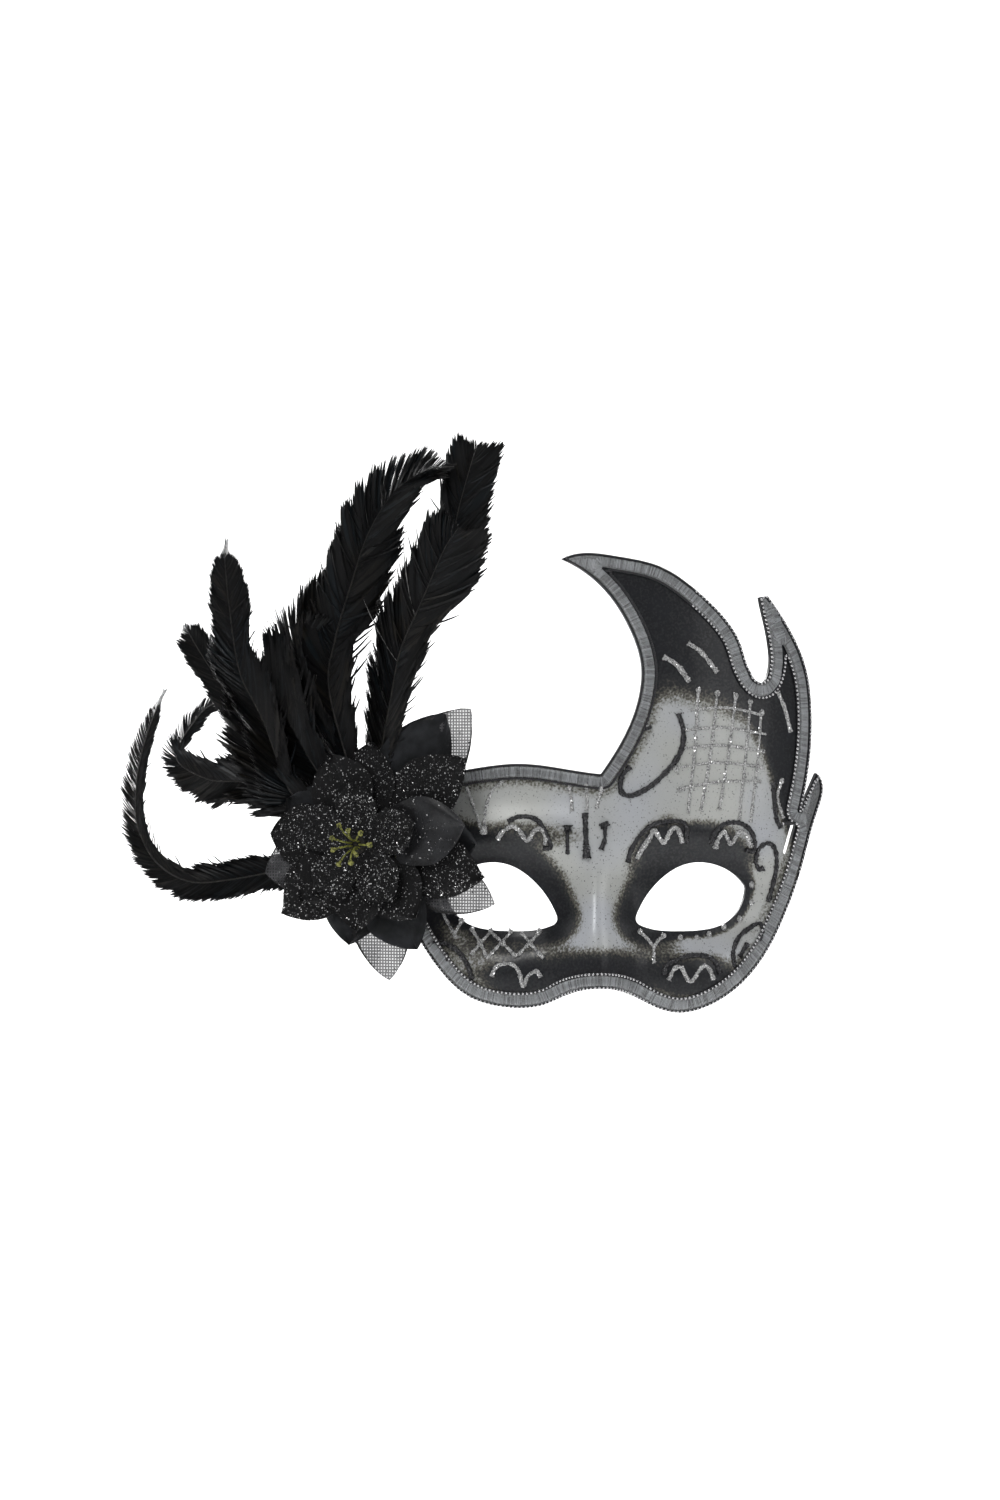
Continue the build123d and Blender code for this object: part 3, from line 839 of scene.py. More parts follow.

# %% [markdown]
# The ornament is drawn with glitter glue from a fine nozzle: a low lumpy bead of glue full of flakes. Each
# stroke is a few listed points in millimetres across and up the face, made smooth, laid on the skin,
# swept
# as a lumpy tube that is half sunk in it, and strewn with flakes. Black and silver are separate pieces.

# %% Strokes of glitter glue
BLACK_STROKES = [
    # arches over the eyes
    (1.0, [(-31.7, 27.2), (-28.3, 28.9), (-24.1, 28.9), (-20.7, 27.2), (-18.2, 23.4), (-16.5, 18.3),
           (-19, 17.9)]),
    (1.0, [(11.1, 12.8), (12.4, 17.5), (15.8, 22.6), (20, 26), (25.1, 27.2), (30.2, 27.2), (32.3, 25.1),
           (31.9, 20)]),
    (1.0, [(41.3, 19.2), (42.1, 22.6), (45.5, 26), (50.6, 26.8), (54.9, 24.7), (57, 20.9), (57, 16.6),
           (54, 17)]),
    # three drops on the brow
    (1.6, [(-10.5, 25.8), (-10.4, 23.8)]), (0.8, [(-10.5, 25.8), (-10.5, 20.5), (-10.4, 15.8)]),
    (1.1, [(-4.2, 30.2), (-4, 24), (-3.8, 19)]), (1.5, [(-3.8, 18.5), (-3.6, 14.3)]),
    (1.6, [(2.4, 26.8), (3, 25.4)]), (0.9, [(2.8, 26), (2.8, 21), (1.5, 17.3)]),
    # hook and dot on the forehead
    (1.15, [(29.5, 65.9), (31.3, 59), (29.5, 50.8), (21.2, 41.4), (13, 36.7), (8.8, 38), (9, 43.2),
            (11.9, 46.8)]),
    (1.5, [(18.2, 61.2), (18.6, 60.2)]),
    # scroll at the right temple, and the stroke above it
    (1.0, [(62.5, -2.1), (64.2, 3.9), (65.5, 10.7), (65, 16.6), (62.5, 19.2), (59.1, 17.5), (57.8, 13.2),
           (59.1, 9.8), (60.8, 10.3)]),
    (1.1, [(64.4, 41), (64.6, 35.3), (65.5, 27.7), (66.9, 24.9)]),
    # lower right
    (1.0, [(49.8, -25), (49.3, -19.9), (51.5, -14.8), (55.7, -11.4), (59.4, -9.9), (60.4, -13.1),
           (58.6, -17.3)]),
    (0.9, [(54.6, -17), (51.6, -21.6)]),
    (1.1, [(24.3, -27.6), (25.4, -24), (31.9, -21.2), (37.9, -20.9), (42.1, -22.6), (44.4, -27.1)]),
    # lower left
    (1.1, [(-60.5, -17.2), (-56, -16.6), (-52, -18), (-48.7, -20.7), (-46, -25), (-44.6, -29.4)]),
    (1.0, [(-54.2, -20.6), (-53, -23.2)]),
]
SILVER_STROKES = [
    # wavy lines inside the arches
    (1.0, [(-35.1, 21.6), (-33.4, 23.8), (-30.5, 25.5), (-27.9, 24.3), (-25, 20.4), (-22.4, 23.8),
           (-19.9, 24.7), (-18.2, 21.7), (-18.4, 19.2)]),
    (1.1, [(14.5, 14.1), (16.2, 17.5), (19.2, 21.7), (20.5, 24.3), (23.9, 20), (26.8, 24.3), (29, 24.7),
           (30.8, 20)]),
    (1.0, [(42.9, 17.9), (43.8, 20.9), (45.9, 23.4), (48.5, 19.2), (51.5, 23.4), (54, 22.6), (55.6, 18.9)]),
    # dotted lines above the drops
    (0.7, [(-9.7, 39.1), (-9, 35), (-8.8, 31)]), (0.7, [(-3.7, 40), (-3.5, 35), (-3.3, 31.4)]),
    (0.7, [(1.6, 38.7), (0.8, 35), (-0.3, 31.9)]),
    # left forehead
    (0.7, [(-33.4, 42), (-37.7, 37.8), (-39.8, 31), (-40.4, 23.4)]),
    (0.7, [(-46.6, 39.5), (-43.6, 31), (-40.9, 24)]),
    (1.5, [(-40.5, 25.4), (-40.4, 22.8)]),
    # crosses under the left eye
    (0.75, [(-44.5, -12), (-42, -16), (-39.4, -21.4)]),
    (0.75, [(-44.9, -20.7), (-41.5, -16.5), (-37.9, -12.6)]),
    (0.75, [(-37.9, -12.6), (-33.5, -16.6), (-28.8, -21.2)]),
    (0.75, [(-39.4, -22), (-35, -17.2), (-30.9, -12.9)]),
    (0.75, [(-28.3, -20.7), (-24, -16.4), (-20.6, -12.7)]),
    (0.75, [(-26.9, -12.8), (-23, -17.2), (-19, -21.6)]),
    # left cheek
    (0.75, [(-57.2, 0.5), (-55.5, -4), (-54.7, -7.2), (-50.4, -14.8)]), (0.75, [(-48.7, -9.3), (-51.3, -14)]),
    # under the right eye
    (0.75, [(15.8, -12.6), (18, -14.6), (20.5, -17.3), (22, -15.6), (23.9, -14.2)]),
    (0.7, [(20.5, -17.3), (20.5, -23.4)]),
    # wavy lines low on both cheeks
    (0.95, [(-37.6, -28.2), (-35.6, -24.6), (-30.9, -23.7), (-27.9, -26.3), (-26.3, -31.6), (-24.6, -28),
            (-21.5, -26.3), (-20, -28.4)]),
    (0.95, [(25.8, -29.4), (27.7, -25.6), (30.2, -25), (33.6, -30), (37.9, -24.8), (40.4, -25.6),
            (42, -29.4)]),
    # net of fine lines on the right forehead
    (0.7, [(36.7, 74.2), (35.6, 55), (32.8, 30.2)]), (0.7, [(43.6, 73), (41.2, 52), (37.5, 31)]),
    (0.7, [(50.4, 72), (47.8, 52), (44.2, 31.5)]), (0.7, [(55.8, 69.8), (54, 50), (51.5, 27.7)]),
    (0.7, [(59.8, 66), (58.4, 48), (55.7, 26.8)]),
    (0.65, [(34, 67.2), (47, 68.2), (60, 65.6)]), (0.65, [(31.6, 60), (46, 61), (61.5, 58.6)]),
    (0.65, [(30.5, 53.4), (45, 54.6), (61, 52.4)]), (0.65, [(28.4, 46.4), (44, 48.4), (60.4, 46.6)]),
    (0.65, [(29.6, 39), (44, 41.4), (59.6, 41.6)]),
    # strokes on the horns
    (1.1, [(24.1, 86.4), (29, 83.4), (33.5, 77.4)]), (1.1, [(33.1, 91.4), (38, 88), (43.6, 81)]),
    (1.0, [(66.2, 74.2), (69, 67), (70.9, 59.4)]), (0.9, [(67.8, 42.5), (65.8, 36), (67.9, 28.4)]),
]
SILVER_DOTS = [
    (30.2, -14.6), (36.2, -14.6), (40.6, -13.5), (46, -11), (51.8, -8.2), (56.4, -2.4), (56.4, 4.2),
    (-33.5, -16.6),
    (-41.8, -16.3), (-23.6, -16.8), (-44.6, -11.8), (-37.9, -12.2), (-30.7, -12.4), (-20.4, -12.2),
    (-48.5, -8.8),
    (36.7, 74.4), (43.6, 73.4), (50.4, 72.4), (55.8, 70.2), (-9.7, 39.3), (-3.7, 40.2), (1.6, 38.9),
    (60, 66.4),
    (15.6, -12.3), (24.1, -13.9), (28.6, 46.2), (29.8, 38.8), (-57.2, 1), (-35.2, 21.4), (55.8, 18.6),
    (18.4, 61),
]


def smooth_line(points, spacing=0.5):
    """A Catmull-Rom curve through points, as closely spaced points."""
    ends = [points[0], *points, points[-1]]
    result = []
    for a, b, c, d in zip(ends, ends[1:], ends[2:], ends[3:]):
        steps = max(2, int(hypot(c[0] - b[0], c[1] - b[1]) / spacing))
        for i in range(steps):
            t = i / steps
            result.append(tuple(
                0.5 * (2 * q + (r - p) * t + (2 * p - 5 * q + 4 * r - s) * t * t + (3 * q - 3 * r + s - p)
                       * t ** 3)
                for p, q, r, s in zip(a, b, c, d)))
    return result + [points[-1]]


def laid(points, width, lift):
    """A chain on the skin whose width swells a little at both ends, where the nozzle stopped."""
    path = smooth_line(points)
    chain = []
    for i, (x, z) in enumerate(path):
        end = min(i, len(path) - 1 - i)
        point, up = on_skin(x, z, lift)
        chain.append((point, up, width * (0.85 + 0.3 * exp(-end / 1.6))))
    return chain


def glitter(name, strokes, dots, weight, glue, flakes, density, seed):
    """The strokes of one colour: the glue, and the flakes strewn over it."""
    chains = [laid(points, width * weight, 0.0) for width, points in strokes]
    for x, z in dots:
        chains.append([(on_skin(x + dx, z, 0.1)[0], on_skin(x, z)[1], 1.5 * (1 - (dx / 0.9) ** 2) ** 0.5)
                       for dx in (-0.85, -0.6, -0.3, 0, 0.3, 0.6, 0.85)])
    beads = grow(chain_object(name + "_glue", chains), TUBE, Radius=0.8 * MM, Sides=7, Lumps=1.3,
                 Material=glue)
    flake = mesh_object("flake", [(-0.5 * MM, -0.4 * MM, 0), (0.5 * MM, -0.4 * MM, 0),
                                  (0.45 * MM, 0.4 * MM, 0), (-0.45 * MM, 0.4 * MM, 0)],
                        [(0, 1, 2, 3)], smooth=False)
    strewn = link(name + "_flakes", beads.data.copy())
    grow(strewn, GRAINS, Piece=flake, Density=density, Size=0.5, Seed=seed, Material=flakes)
    bpy.data.objects.remove(flake)
    rides(beads, "mask", "shell_plastic")
    rides(strewn, "mask", "shell_plastic")


black_glue = Finish("black_glitter_glue", roughness=0.35, Coat_Weight=0.4)
black_glue.set("Base Color", black_glue.mix(black_glue.noise(5.0), (0.006, 0.006, 0.007),
                                            (0.04, 0.04, 0.045)))
black_glue.bump(black_glue.noise(6.0), 0.12, 0.8)
dark_flake = Finish("dark_flake", roughness=0.22, Metallic=0.9)
dark_flake.set("Base Color", dark_flake.mix(dark_flake.noise(3.0).soft_step(0.45, 0.62),
                                            (0.01, 0.01, 0.012), (0.22, 0.22, 0.23)))
silver_glue = Finish("silver_glitter_glue", roughness=0.4, Coat_Weight=0.3)
silver_glue.set("Base Color", silver_glue.mix(silver_glue.noise(2.0, 3.0).soft_step(0.4, 0.6),
                                              (0.30, 0.30, 0.295), (0.82, 0.82, 0.81)))
silver_glue.bump(silver_glue.noise(6.0), 0.12, 0.8)
silver_flake = Finish("silver_flake", roughness=0.18, Metallic=1.0)
silver_flake.set("Base Color", silver_flake.mix(silver_flake.noise(3.0).soft_step(0.4, 0.6),
                                                (0.3, 0.3, 0.3), (0.95, 0.95, 0.95)))
glitter("black_ornament", BLACK_STROKES, [], 1.25, black_glue, dark_flake, 3.0e6, 5)
glitter("silver_ornament", SILVER_STROKES, SILVER_DOTS, 1.15, silver_glue, silver_flake, 4.5e6, 6)

# %% [markdown]
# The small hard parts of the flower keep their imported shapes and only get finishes: felt, dried glue, the
# stem's
# black plastic and the button. The pips are the lumpy ends of the stamens, so they are a roughened copy.

# %% Finishes of the small parts
def speckled(name, first, second, scale, roughness, bump_scale, bump_depth, **even):
    """A finish that wanders between two colours, with fine bumps."""
    finish = Finish(name, roughness=roughness, **even)
    finish.set("Base Color", finish.mix(finish.noise(scale, 4.0).soft_step(0.35, 0.65), first, second))
    grain = finish.noise(bump_scale, 3.0)
    finish.set("Roughness", roughness - 0.1 + grain * 0.2)
    finish.bump(grain, bump_depth, 0.7)
    return finish


SMALL_PARTS = {
    "felt_pad": speckled("black_felt", (0.008, 0.008, 0.008), (0.03, 0.03, 0.032), 1.5, 0.95, 4.0, 0.25,
                         Sheen_Weight=0.4),
    "glue_mound": speckled("dried_glue", (0.55, 0.50, 0.36), (0.70, 0.68, 0.58), 0.4, 0.3, 0.8, 0.2,
                           Coat_Weight=0.3),
    "flower_stem": speckled("stem_plastic", (0.012, 0.012, 0.012), (0.03, 0.03, 0.03), 0.8, 0.45, 3.0, 0.06),
    "flower_button": speckled("button_thread", (0.006, 0.006, 0.006), (0.03, 0.028, 0.02), 2.5, 0.8, 3.0,
                              0.3),
    "stamens": speckled("stamen_thread", (0.05, 0.055, 0.012), (0.34, 0.35, 0.07), 1.3, 0.55, 6.0, 0.08),
    "braid_band": foil, "braid_inner_cord": cord_black, "braid_edge_cord": cord_black,
}
for node, finish in SMALL_PARTS.items():
    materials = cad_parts[node].data.materials
    materials.clear()
    materials.append(finish.material)

pip_finish = speckled("pip_paste", (0.05, 0.055, 0.010), (0.42, 0.42, 0.11), 1.0, 0.6, 3.0, 0.2)
lumps = merged("stamen_pips")
bmesh.ops.subdivide_edges(lumps, edges=lumps.edges, cuts=1, use_grid_fill=True)
for vertex in lumps.verts:
    vertex.co += vertex.normal * MM * (0.55 * noise.noise(vertex.co / (0.9 * MM)) - 0.2)
pip_mesh = bpy.data.meshes.new("pips_lumpy")
lumps.to_mesh(pip_mesh)
lumps.free()
pip_mesh.shade_smooth()
pip_mesh.materials.append(pip_finish.material)
rides(link("pips_lumpy", pip_mesh), "mask", "pip", "stamen_pips")

# %% [markdown]
# Everything on the spray is placed from its own root: across, up, and out from the skin, in millimetres. The
# felt pad tells where that root is, and the spray faces a little outwards from the nose.

# %% The spray's own directions
SPRAY_TURN = radians(22)
OUT = Vector((-sin(SPRAY_TURN), -cos(SPRAY_TURN), 0))
ACROSS = Vector((cos(SPRAY_TURN), -sin(SPRAY_TURN), 0))
UP = Vector((0, 0, 1))
pad_low, pad_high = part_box("felt_pad")
SPRAY_ROOT = (Vector(pad_low) + Vector(pad_high)) / 2 - OUT * 6.85 * MM


def on_spray(x, y, out):
    """A point of the spray, from millimetres across, up and out."""
    return SPRAY_ROOT + (ACROSS * x + UP * y + OUT * out) * MM


# %% [markdown]
# A plume is a shaft with a vane of barbs on each side. One barb is a narrow blade that leaves the shaft at a
# shallow angle and sweeps towards the tip. A tree sets hundreds of them along the shaft, sized by the vane's
# width there. Slow noise turns neighbours together, which parts the vane into locks as handling does, and
# each
# barb keeps a tone of its own, so that the black has streaks.

# %% The tree that grows a vane
def vane_tree():
    graph, put = geo_tree("vane", {"Barb": "Object", "Pitch": "Float", "Locks": "Float", "Ragged": "Float",
                                   "Wobble": "Float", "Seed": "Int", "Material": "Material"})
    curve = graph.add("GeometryNodeMeshToCurve", put["Geometry"])
    spots = graph.add("GeometryNodeResampleCurve", mode="LENGTH",
                      named={"Curve": curve, "Length": put["Pitch"]})
    place = graph.add("GeometryNodeInputPosition")
    shift = graph.add("ShaderNodeCombineXYZ", put["Seed"] * 0.13, 0.0, 0.0)
    moved = graph.add("ShaderNodeVectorMath", place, shift, operation="ADD")
    slow = graph.add("ShaderNodeTexNoise", output="Fac",
                     named={"Vector": moved, "Scale": 170.0, "Detail": 2.0})
    fine = graph.add("ShaderNodeTexNoise", output="Fac",
                     named={"Vector": moved, "Scale": 620.0, "Detail": 1.0})
    turn = (slow - 0.5) * put["Locks"] + put["Wobble"] * random_value(graph, -1.0, 1.0, put["Seed"], 1)
    size = attribute(graph, "width") * MM * (1.0 + put["Ragged"] * (fine - 0.5) + 0.06
                                             * random_value(graph, -1.0, 1.0, put["Seed"], 2))
    tilt = graph.add("FunctionNodeEulerToRotation", graph.add(
        "ShaderNodeCombineXYZ", (slow - 0.45) * 0.5 + 0.1
        * random_value(graph, -1.0, 1.0, put["Seed"], 4), 0.0, 0.0))
    facing = graph.add("FunctionNodeRotateRotation", along_and_up(graph, turn), tilt, rotation_space="LOCAL")
    shape = graph.add("GeometryNodeObjectInfo", put["Barb"], output="Geometry")
    barbs = graph.add("GeometryNodeInstanceOnPoints",
                      named={"Points": spots, "Instance": shape, "Rotation": facing, "Scale": size})
    toned = graph.add("GeometryNodeStoreNamedAttribute", data_type="FLOAT", domain="INSTANCE", named={
        "Geometry": barbs, "Name": "tone", "Value": random_value(graph, 0.0, 1.0, put["Seed"], 7)})
    return end_tree(graph, toned, put["Material"])


VANE = vane_tree()


def barb(name, side, run, blade, curl, steps=7):
    """A blade of unit reach beside the shaft; run is how far it sweeps along it."""
    points, faces = [], []
    for i in range(steps + 1):
        s = i / steps
        middle = Vector((run * s * (0.75 + 0.25 * s), side * s * (1.12 - 0.12 * s), curl * s * s))
        ahead = Vector((run * (0.75 + 0.5 * s), side * (1.12 - 0.24 * s), 0)).normalized()
        half = blade * (0.5 + 0.5 * s) * (1 - s ** 5) + 0.004
        beside = Vector((-ahead.y, ahead.x, 0)) * side
        points += [middle + beside * half + Vector((0, 0, -0.03)),
                   middle - beside * half + Vector((0, 0, 0.03))]
        if i:
            a = 2 * i - 2
            faces.append((a, a + 1, a + 3, a + 2) if side > 0 else (a, a + 2, a + 3, a + 1))
    return mesh_object(name, [p for p in points], faces)


# %% Finish of the plumes
plume_black = Finish("dyed_plume", roughness=0.45, Specular_IOR_Level=0.28)
tone = plume_black.add("ShaderNodeAttribute", output="Fac", attribute_name="tone")
cast = plume_black.noise(0.05, 2.0)
tint = plume_black.mix(cast.soft_step(0.4, 0.6), (0.010, 0.014, 0.017), (0.017, 0.015, 0.012))
plume_black.set("Base Color", plume_black.mix(tone.soft_step(0.45, 1.0) * 0.85, (0.0025, 0.0025, 0.003),
                                              tint))
plume_black.set("Roughness", 0.6 - tone * 0.28)
shaft_black = speckled("plume_shaft", (0.004, 0.004, 0.004), (0.02, 0.018, 0.015), 0.5, 0.35, 2.0, 0.03)
# Pale grey strands: painted glints, standing in for the light that single barbs catch
glint_strand_paint = speckled("undyed_barb", (0.16, 0.16, 0.16), (0.42, 0.42, 0.41), 0.4, 0.5, 4.0, 0.02)

# %% Stations of each plume: layer, then (across, up, width) in millimetres from the spray's root
PLUMES = {
    "plume_hook": (0, [(-30, 14, 16), (-50.5, 21.5, 16), (-69, 23, 13), (-82.5, 29, 9.5),
                       (-82.5, 35.5, 8), (-77.5, 43, 7),
                       (-70.5, 50, 6), (-60.5, 53, 2)]),
    "plume_arch_strand": (0, [(-33.5, 61, 17), (-30.5, 76, 16), (-21.5, 92, 11), (-13.5, 103, 3)]),
    "plume_tall_upright": (0, [(3.5, 41, 13), (6, 61, 15), (13.5, 84, 17), (24, 105, 18), (28.5, 124, 17),
                               (32, 138, 13),
                               (34, 144.5, 8)]),
    "plume_side_long": (1, [(-28.5, 23, 10), (-49.5, 41, 11), (-64, 59, 11), (-72.5, 70, 10),
                            (-79.5, 80, 5)]),
    "plume_tall_arch": (1, [(-18.5, 55.5, 21), (-17, 73.5, 22), (-11, 95, 21), (-5, 113, 18),
                            (4.5, 127.5, 14),
                            (17.5, 135.5, 9), (27.5, 136.5, 4)]),
    "plume_side_short": (2, [(-32, 16, 17), (-43, 30.5, 20), (-47.5, 44.5, 16), (-49, 52, 6)]),
    "plume_sickle": (2, [(-34, -9.5, 12), (-56, -13.5, 13), (-73.5, -14.5, 10.5), (-87.5, -8, 10),
                         (-95.5, 5, 10),
                         (-96.5, 19.5, 9), (-93.5, 35.5, 7), (-88, 50, 4), (-85, 56, 1.5)]),
    "plume_side_broad": (3, [(-23, 30.5, 22), (-35, 50, 25), (-44, 63, 10)]),
    "plume_spike": (4, [(-30, 19.5, 14), (-40.5, 44.5, 17), (-50, 62.5, 15), (-54, 84.5, 12), (-56, 102.5, 5),
                        (-55.5, 110.5, 1.5)]),
    "plume_broad_upright": (4, [(10, 52, 19), (14, 70, 22), (22.5, 88, 23), (31, 106, 14), (36, 113, 6)]),
}
QUILL_ROOT, PLUME_FIRST, PLUME_PITCH, PLUME_LEAN = 5.2, 10.04, 1.6, 0.03


def plume_line(stations):
    """Points (across, up, width) along the shaft, from the quill's root to the tip."""
    turn = atan2(stations[0][1], stations[0][0])
    quill = [(r * cos(turn), r * sin(turn), width) for r,
             width in ((QUILL_ROOT, 1.2), (10.2, 1.2), (24.0, 11.0))]
    return smooth_line(quill + stations, 0.9)


# %% Grow the plumes
# How each vane lies: sweep of its barbs, locks, raggedness, and curl of its edges towards the viewer
VANES = {
    "plume_hook": (1.5, 0.9, 0.75, 0.06), "plume_arch_strand": (1.9, 0.35, 0.3, -0.05),
    "plume_tall_upright": (2.2, 0.35, 0.4, 0.10), "plume_side_long": (1.7, 0.3, 0.25, 0.08),
    "plume_tall_arch": (2.0, 0.45, 0.5, -0.06), "plume_side_short": (1.6, 0.5, 0.5, 0.07),
    "plume_sickle": (1.7, 0.4, 0.5, 0.04), "plume_side_broad": (1.8, 0.4, 0.4, 0.08),
    "plume_spike": (2.0, 0.2, 0.15, 0.10), "plume_broad_upright": (2.0, 0.35, 0.4, 0.08),
}
for seed, (name, (layer, stations)) in enumerate(PLUMES.items()):
    run, locks, ragged, curl = VANES[name]
    line = plume_line(stations)
    shaft, vane = [], []
    for i, (x, y, width) in enumerate(line):
        reach = hypot(x, y)
        out = PLUME_FIRST + layer * PLUME_PITCH - PLUME_LEAN * (4 - layer) * (reach - QUILL_ROOT)
        spot = on_spray(x, y, out)
        share = i / (len(line) - 1)
        shaft.append((spot + OUT * 0.12 * MM, OUT, 0.62 - 0.5 * share))
        if reach > 12:
            lean = OUT + (ACROSS * sin(share * 7 + seed) + UP * cos(share * 5 + seed)) * 0.22
            vane.append((spot, lean.normalized(), max(0.8, width / 2 * 1.04 * min(1, 0.2 + 8 * (1 - share)))))
    pieces = [grow(chain_object(name + "_shaft", [shaft]), TUBE, Radius=1.0 * MM, Sides=6, Lumps=0.1,
                   Material=shaft_black)]
    for side in (1, -1):
        blade = barb("blade", side, run, 0.085, -abs(curl) if side * curl < 0 else curl * 0.4)
        pieces.append(grow(chain_object(name + "_vane", [vane]), VANE, Barb=blade, Pitch=0.24 * MM,
                           Locks=locks,
                           Ragged=ragged, Wobble=0.06, Seed=seed * 4 + side, Material=plume_black))
        bpy.data.objects.remove(blade)
        wisp = barb("wisp", side, run * 0.7, 0.03, -0.1)
        pieces.append(grow(chain_object(name + "_wisps", [vane]), VANE, Barb=wisp, Pitch=1.9 * MM,
                           Locks=locks * 1.5,
                           Ragged=ragged + 0.5, Wobble=0.3, Seed=seed * 4 + side + 50, Material=plume_black))
        bpy.data.objects.remove(wisp)
    # A few pale strands on three plumes are painted glints: light caught by single barbs, drawn in grey
    if name in ("plume_tall_upright", "plume_broad_upright", "plume_side_short"):
        strand = barb("strand", 1, run * 1.1, 0.02, 0.12, steps=9)
        pieces.append(grow(chain_object(name + "_strands", [vane[len(vane) // 3:]]), VANE, Barb=strand,
                           Pitch=17 * MM, Locks=0.6,
                           Ragged=0.5, Wobble=0.5, Seed=seed + 90, Material=glint_strand_paint))
        bpy.data.objects.remove(strand)
    rides(joined(name + "_feather", pieces), name, "plume", name)

# %% [markdown]
# The flower is five layers of cut cloth threaded on one stem: sheer organza at the back, then plain,
# glittered
# and satin cloth, and a small glittered cup. Each petal is a sheet built straight from its cut shape: a
# grid of
# rows from the stem to the point, bent by the layer's droop or cup, a crease along its middle, and ripples
# that
# grow towards its rim. Simulation would only relax these small stiffened petals flat, so they are bent by
# rule.

# %% Cut and bend a petal
PETALS_BACK, PETAL_PITCH = 17.34, 1.3  # out from the spray's root, and from layer to layer
PETAL_CLEARANCE = 1.6  # between a petal and the painted skin


def half_width(u):
    """The petal's half width as a share of its width, from the stem (0) to the point (1)."""
    if u < 0.6:
        return 0.16 + 0.34 * sin(pi / 2 * u / 0.6)
    t = (u - 0.6) / 0.4
    return 0.5 * max(0.0, 1 - t ** 1.7) ** 0.85


def petal_sheet(points, faces, rims, areas, base, length, width, direction, rise, ripple, crease, seed,
                inner=2.6):
    """Adds one petal's grid, how near each point is to the rim, and the petal's cut area."""
    random.seed(seed)
    rows, columns = max(14, int(length / 1.3)), max(12, int(width / 1.1))
    phase, waves, lean, side_lift = random.uniform(0, 6), random.uniform(1.6, 2.6), random.uniform(-0.05,
            0.05), random.uniform(-1, 1)
    start = len(points)
    for i in range(rows + 1):
        u = i / rows
        r = inner + (length - inner) * u
        half = width * half_width(u)
        for j in range(columns + 1):
            v = 2 * j / columns - 1
            fray = 0.25 * noise.noise(Vector((r * 1.7, v * 9, seed))) if abs(v) == 1 else 0
            turn = radians(direction) + lean * u * u
            s = v * (half + fray)
            x, y = r * cos(turn) - s * sin(turn), r * sin(turn) + s * cos(turn)
            out = base + rise * (u ** 1.6) * length / 40
            out += crease * (abs(v) ** 0.7 - 0.6) * min(1, u * 3) * (1 - 0.5 * u)
            out += ripple * u * (sin(phase + v * waves * 2 + u * 3) + 0.7
                                 * sin(phase * 2 + u * 9 + v * 3)) * (0.35 + 0.65 * abs(v))
            out += ripple * 0.8 * side_lift * v * u + 0.5 * noise.noise(Vector((x * 0.12, y * 0.12, seed)))
            point = on_spray(x, y, max(out,
                                       PETALS_BACK + 0.15 * noise.noise(Vector((x * 0.3, y * 0.3, seed)))))
            skin_y = shell_tree.ray_cast(Vector((point.x, -0.2, point.z)), FRONT)[0]
            if skin_y is not None:
                point.y = min(point.y, skin_y.y - PETAL_CLEARANCE * MM)
            points.append(point)
            rims.append(abs(v) ** 8)
    for i in range(rows):
        for j in range(columns):
            a = start + i * (columns + 1) + j
            faces.append((a, a + 1, a + columns + 2, a + columns + 1))
    areas.append(sum(2 * width * half_width((i + 0.5) / rows) * (length - inner) / rows
                     for i in range(rows)) * MM * MM)


# Each layer: petals as (length, width, direction), then rise at the point, ripple, crease, flat bounding size
LAYERS = {
    "petals_grey": ([(64, 27, 50), (55, 22, -24), (50, 23, -76), (41, 24, 196)], -2.5, 0.9, 0.5, (98, 83)),
    "petals_matte": ([(57, 28, 55), (44, 27, -2), (43, 25, -62), (37, 25, -100), (34, 24, 150)], -1.0,
                     1.0, 1.0, (85, 65)),
    "petals_glitter": ([(51, 25, 36), (50, 24, -14), (40, 24, -138), (36, 24, 172), (37, 22, 84)], 1.0,
                       1.1, 1.4, (88, 66)),
    "petals_satin": ([(43, 25, 12), (35, 23, -48), (34, 24, 108), (30, 22, 222), (31, 21, -92)], 3.2, 1.1,
                     1.6, (70, 67)),
    "petals_inner": ([(25, 17, 20), (22, 16, 90), (26, 17, 158), (24, 17, 232), (25, 18, 305)], 7.5, 1.0,
                     1.2, (50, 48)),
}
petal_layers, first_petal_faces = {}, {}
for level, (name, (petals, rise, ripple, crease, flat)) in enumerate(LAYERS.items()):
    points, faces, rims, areas = [], [], [], []
    for k, (length, width, direction) in enumerate(petals):
        base = PETALS_BACK + PETAL_PITCH * level + 0.25 + 0.22 * (k % 3)
        petal_sheet(points, faces, rims, areas, base, length, width, direction, rise, ripple, crease,
                    level * 10 + k)
        first_petal_faces.setdefault(name, len(faces))
    cloth = mesh_object(name + "_cloth", points, faces)
    cloth.data.attributes.new("rim", "FLOAT", "POINT").data.foreach_set("value", rims)
    petal_layers[name] = (cloth, sum(areas), flat)
    print(name, "cut from", round(sum(areas) / MM / MM), "square mm")

# %% [markdown]
# Cloth shows its weave only near by, but its colour, sheen and see-through are plain from afar. Organza is a
# fine net, so light passes between its threads: that is alpha, lower between threads than on them. Glittered
# cloth is plain black cloth with cells of foil stuck on, some of them real flakes that stand out and catch
# light.

# %% Cloth finishes
def weave(finish, pitch):
    """Height of a plain weave with the given pitch in millimetres, on the spray's own directions."""
    across = finish.add("ShaderNodeVectorMath", finish.mm, tuple(ACROSS), output="Value",
                        operation="DOT_PRODUCT")
    up = finish.add("ShaderNodeVectorMath", finish.mm, (0.0, 0.0, 1.0), output="Value",
                    operation="DOT_PRODUCT")
    warp = (across * (2 * pi / pitch)).maths("SINE")
    weft = (up * (2 * pi / pitch)).maths("SINE")
    return warp.maths("MAXIMUM", weft)


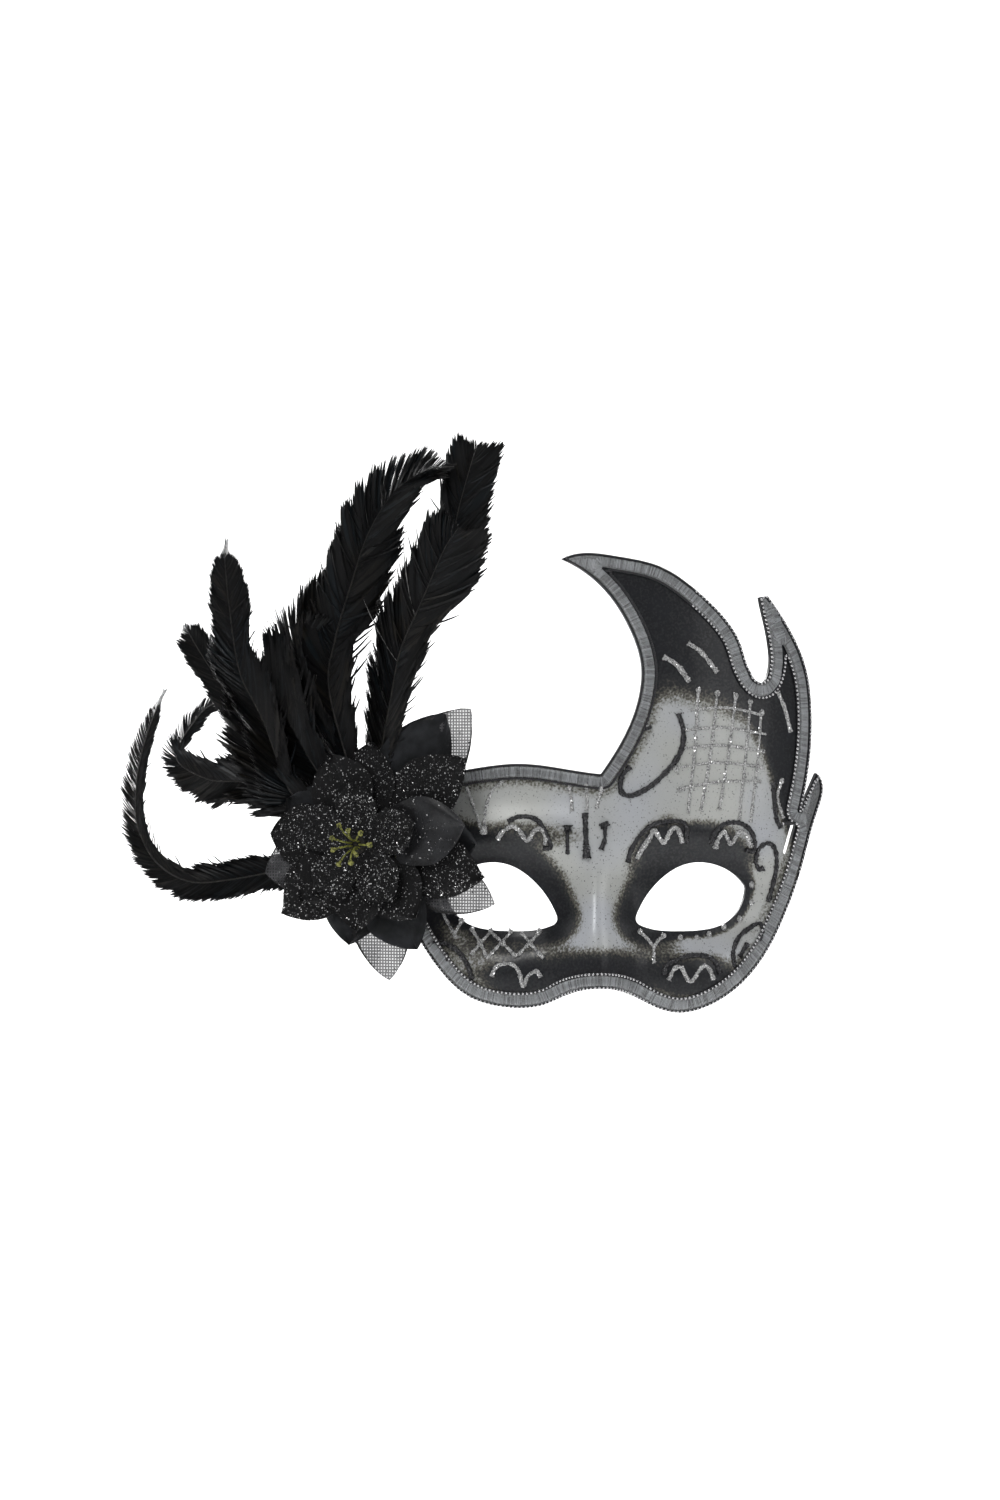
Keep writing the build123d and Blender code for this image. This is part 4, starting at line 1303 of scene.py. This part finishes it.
organza = Finish("grey_organza", roughness=0.5, Specular_IOR_Level=0.3)
net = weave(organza, 1.1)
shade = organza.noise(0.09, 3.0)
hem = organza.add("ShaderNodeAttribute", output="Fac", attribute_name="rim").soft_step(0.25, 0.6)
sheer = organza.mix(shade.soft_step(0.35, 0.65), (0.03, 0.03, 0.033), (0.115, 0.115, 0.12))
organza.set("Base Color", organza.mix(hem, sheer, (0.02, 0.02, 0.02)))
organza.set("Alpha", (0.76 + net * 0.2 + (shade - 0.5) * 0.3).maths("MAXIMUM", hem))
organza.bump(net, 0.1, 0.5)

matte = Finish("matte_cloth", roughness=0.75, Sheen_Weight=0.25, Sheen_Roughness=0.4, Specular_IOR_Level=0.25)
shade = matte.noise(0.12, 3.0)
matte.set("Base Color", matte.mix(shade.soft_step(0.35, 0.7), (0.009, 0.010, 0.011), (0.030, 0.032, 0.036)))
matte.set("Roughness", 0.66 + shade * 0.2)
matte.bump(weave(matte, 0.35) * 0.5 + matte.noise(0.5, 4.0) * 4.0, 0.08, 0.6)

satin = Finish("black_satin", roughness=0.38, Sheen_Weight=0.2, Specular_IOR_Level=0.4)
shade = satin.noise(0.1, 3.0)
satin.set("Base Color", satin.mix(shade.soft_step(0.35, 0.65), (0.006, 0.006, 0.007), (0.022, 0.023, 0.026)))
satin.set("Roughness", 0.34 + shade * 0.22)
satin.bump(satin.noise(0.35, 4.0), 0.5, 0.6)

glitter_cloth = Finish("glitter_cloth", roughness=0.7, Specular_IOR_Level=0.3)
cells = glitter_cloth.node("ShaderNodeTexVoronoi",
                           named={"Vector": glitter_cloth.mm, "Scale": 1.45, "Randomness": 1.0})
pick = glitter_cloth.add("ShaderNodeSeparateColor", Wire(glitter_cloth, cells.outputs["Color"]))
fleck = (Wire(glitter_cloth, cells.outputs["Distance"]) < 0.40) * (pick > 0.76)
brightness = glitter_cloth.add("ShaderNodeSeparateColor", Wire(glitter_cloth, cells.outputs["Color"]),
                               output=1)
foil_tone = glitter_cloth.mix(brightness.soft_step(0.3, 1.0), (0.03, 0.03, 0.032), (0.5, 0.5, 0.5))
glitter_cloth.set("Base Color", glitter_cloth.mix(fleck, (0.006, 0.006, 0.0065), foil_tone))
glitter_cloth.set("Roughness", 0.75 - fleck * 0.42)
glitter_cloth.set("Metallic", fleck * 0.7)
glitter_cloth.bump(fleck * (0.3 + pick), 0.1, 1.0)

PETAL_FINISH = {"petals_grey": (organza, "organza"), "petals_matte": (matte, "matte_cloth"),
                "petals_glitter": (glitter_cloth, "glitter_cloth"), "petals_satin": (satin, "satin"),
                "petals_inner": (glitter_cloth, "glitter_cloth")}
for name, (cloth, area, flat) in petal_layers.items():
    finish, slot = PETAL_FINISH[name]
    cloth.data.materials.append(finish.material)
    if finish is satin:  # only its first petal is bare satin; the others are glittered
        cloth.data.materials.append(glitter_cloth.material)
        bare = cloth.data.polygons[0].index + first_petal_faces[name]
        cloth.data.polygons.foreach_set("material_index",
                                        [int(i >= bare) for i in range(len(cloth.data.polygons))])
    rides(cloth, "mask", slot, name)

bright_flake = Finish("foil_flake", roughness=0.25, Metallic=0.95)
bright_flake.set("Base Color", bright_flake.mix(bright_flake.noise(1.5).soft_step(0.42, 0.6),
                                                (0.04, 0.04, 0.043), (0.7, 0.7, 0.7)))
petal_flake = mesh_object("petal_flake", [(-0.5 * MM, -0.4 * MM, 0), (0.5 * MM, -0.4 * MM, 0),
                                          (0.4 * MM, 0.45 * MM, 0),
                                          (-0.4 * MM, 0.4 * MM, 0)], [(0, 1, 2, 3)], smooth=False)
for name, density in (("petals_glitter", 0.8e6), ("petals_satin", 0.35e6), ("petals_inner", 1.1e6),
                      ("petals_grey", 0.08e6)):
    cloth = petal_layers[name][0]
    strewn = link(name + "_flakes", cloth.data.copy())
    grow(strewn, GRAINS, Piece=petal_flake, Density=density, Size=0.62, Seed=len(name), Material=bright_flake)
    rides(strewn, "mask", "glitter_cloth")
bpy.data.objects.remove(petal_flake)
